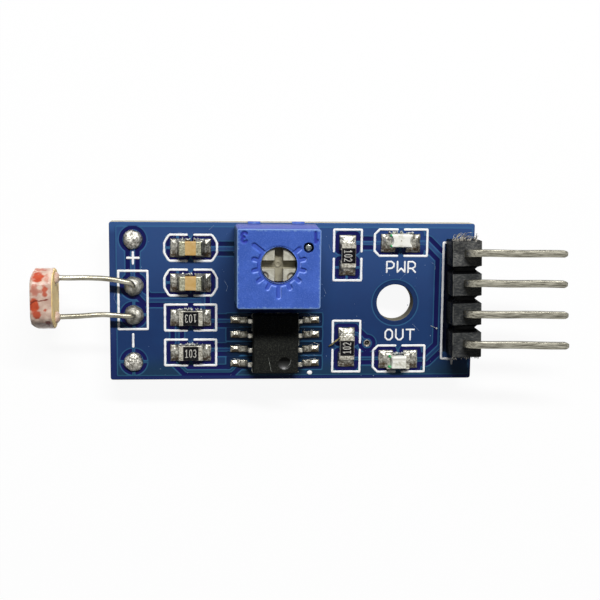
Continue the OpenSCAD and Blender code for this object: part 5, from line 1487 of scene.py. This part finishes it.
# ---------------------------------------------------------------- dirt
# What the soldering left on the board: crumbs of flux along the chips, a scorched brown
# splinter at one resistor, thin hairs, and pale specks.
draw = np.random.default_rng(21)
parts = []
crumb_rows = [((column_x, y), 0.72) for y in column_y] + [(at, 0.70) for at in lights_at]
for (at_x, at_y), off in crumb_rows:
    for _ in range(26):
        u = draw.uniform(-1.1, 1.1)
        r = draw.uniform(0.04, 0.10)
        spot = (at_x + u, at_y + off + draw.uniform(-0.04, 0.10) * (1 if abs(u) < 0.7 else 0.3))
        parts.append(dome(spot, r, board_t + draw.uniform(0.10, 0.45), board_t - 0.01, 0.02,
                          draw.uniform(0, 9), rings=6, around=12))
crumb = two_tone("flux_crumbs", "5d6064", "eceee8", (0.15, 3), (0.38, 0.56), (0.08, 2, 0.01), rough=0.25,
                 Specular_IOR_Level=0.6)
make_piece("flux_crumbs", parts, crumb)

parts = []
hairs = [
    [(-19.3, 5.6), (-18.9, 6.1), (-18.5, 6.0)], [(-16.2, 6.3), (-15.8, 6.7)],
    [(-24.2, 0.9), (-24.35, 0.4), (-24.1, -0.1), (-23.85, -0.4)],
    [(-1.0, 3.4), (-0.7, 3.1), (-0.9, 2.7)], [(-5.9, 5.1), (-5.75, 4.6)], [(-6.3, 1.3), (-6.1, 0.8)],
    [(-14.9, 1.9), (-14.6, 1.4), (-14.75, 1.0)], [(0.9, 2.6), (0.4, 2.05)], [(1.6, -1.9), (2.2, -2.5)],
    [(3.05, 3.6), (3.5, 3.3), (3.45, 2.9)],
    [(-7.6, -0.95), (-7.1, -1.25), (-6.9, -1.1)], [(-8.0, -4.62), (-7.5, -4.75), (-7.1, -4.6), (-6.8, -4.72)],
]
for path in hairs:
    parts.append(stroke(bend_path(path, 0.3, 6), 0.026, board_t, 0.02))
for _ in range(110):
    spot = (draw.uniform(-24.4, 6.5), draw.uniform(-6.5, 6.7))
    parts.append(dome(spot, draw.uniform(0.02, 0.045), board_t + 0.03, board_t - 0.01, 0, 1, rings=4, around=8))
lint = two_tone("pale_lint", "3f5c8c", "8ea2bd", (0.4, 3), (0.40, 0.62), rough=0.6)
make_piece("board_lint", parts, lint)

# Bright bits: a speck with its tail beside the header, and wisps by the comparator's leads
parts = [dome((3.74, -2.30), 0.10, board_t + 0.08, board_t - 0.01, 0.01, 2, rings=6, around=14),
         stroke([(3.25, -2.05), (3.65, -2.25)], 0.05, board_t, 0.04)]
for side in (-1, 1):
    for y in comparator_rows:
        x = comparator_at[0] + side * 3.12
        ends = (draw.uniform(0.10, 0.35), draw.uniform(0.2, 0.5))
        path = [(x - side * ends[0], y + 0.12), (x - side * 0.05, y + 0.34), (x + side * ends[1], y + 0.40)]
        parts.append(stroke(path, 0.026, board_t + 0.15, 0.02))
for path in ([(-7.9, -2.35), (-8.05, -2.62)], [(-7.1, -3.5), (-6.6, -3.72)]):
    parts.append(stroke(path, 0.035, board_t, 0.03))
bright = two_tone("bright_bits", "8f9698", "dfe2dc", (0.2, 3), (0.40, 0.6), rough=0.5)
make_piece("bright_bits", parts, bright)

# The small plated hole beside resistor 4: a ring of tin and a plug of dark resin
ring = circle(via_at, 0.27, np.linspace(0, 2 * math.pi, 33), 0)[:, :2]
make_piece("via_ring", [stroke(ring, 0.09, board_t - 0.03, 0.02)], lead_solder)
plug = dome(via_at, via_r - 0.005, board_t - 0.12, board_t - 0.5, 0.03, 3, rings=8, around=24)
make_piece("via_plug", [plug], cermet)

# The scorched splinter beside resistor 4, thickest in the middle
t = np.linspace(0, 1, 12)[:, None]
waver = 0.03 * np.column_stack([np.sin(t * 9), np.cos(t * 7), 0 * t])
path = np.array([-5.78, -3.84, board_t + 0.08]) + t * [0.90, 0.80, 0.45] + waver
width = 0.35 + 0.75 * np.sin(math.pi * (0.12 + 0.8 * t))
splinter = bar(path, soft_square(0.20, 0.10, 0.03)[None] * width[..., None], (0, 0, 1))
scorched = two_tone("scorched_flux", "574b2b", "b3a66e", (0.2, 3), (0.35, 0.65), (0.1, 3, 0.02), rough=0.5)
make_piece("brown_splinter", [splinter], scorched)
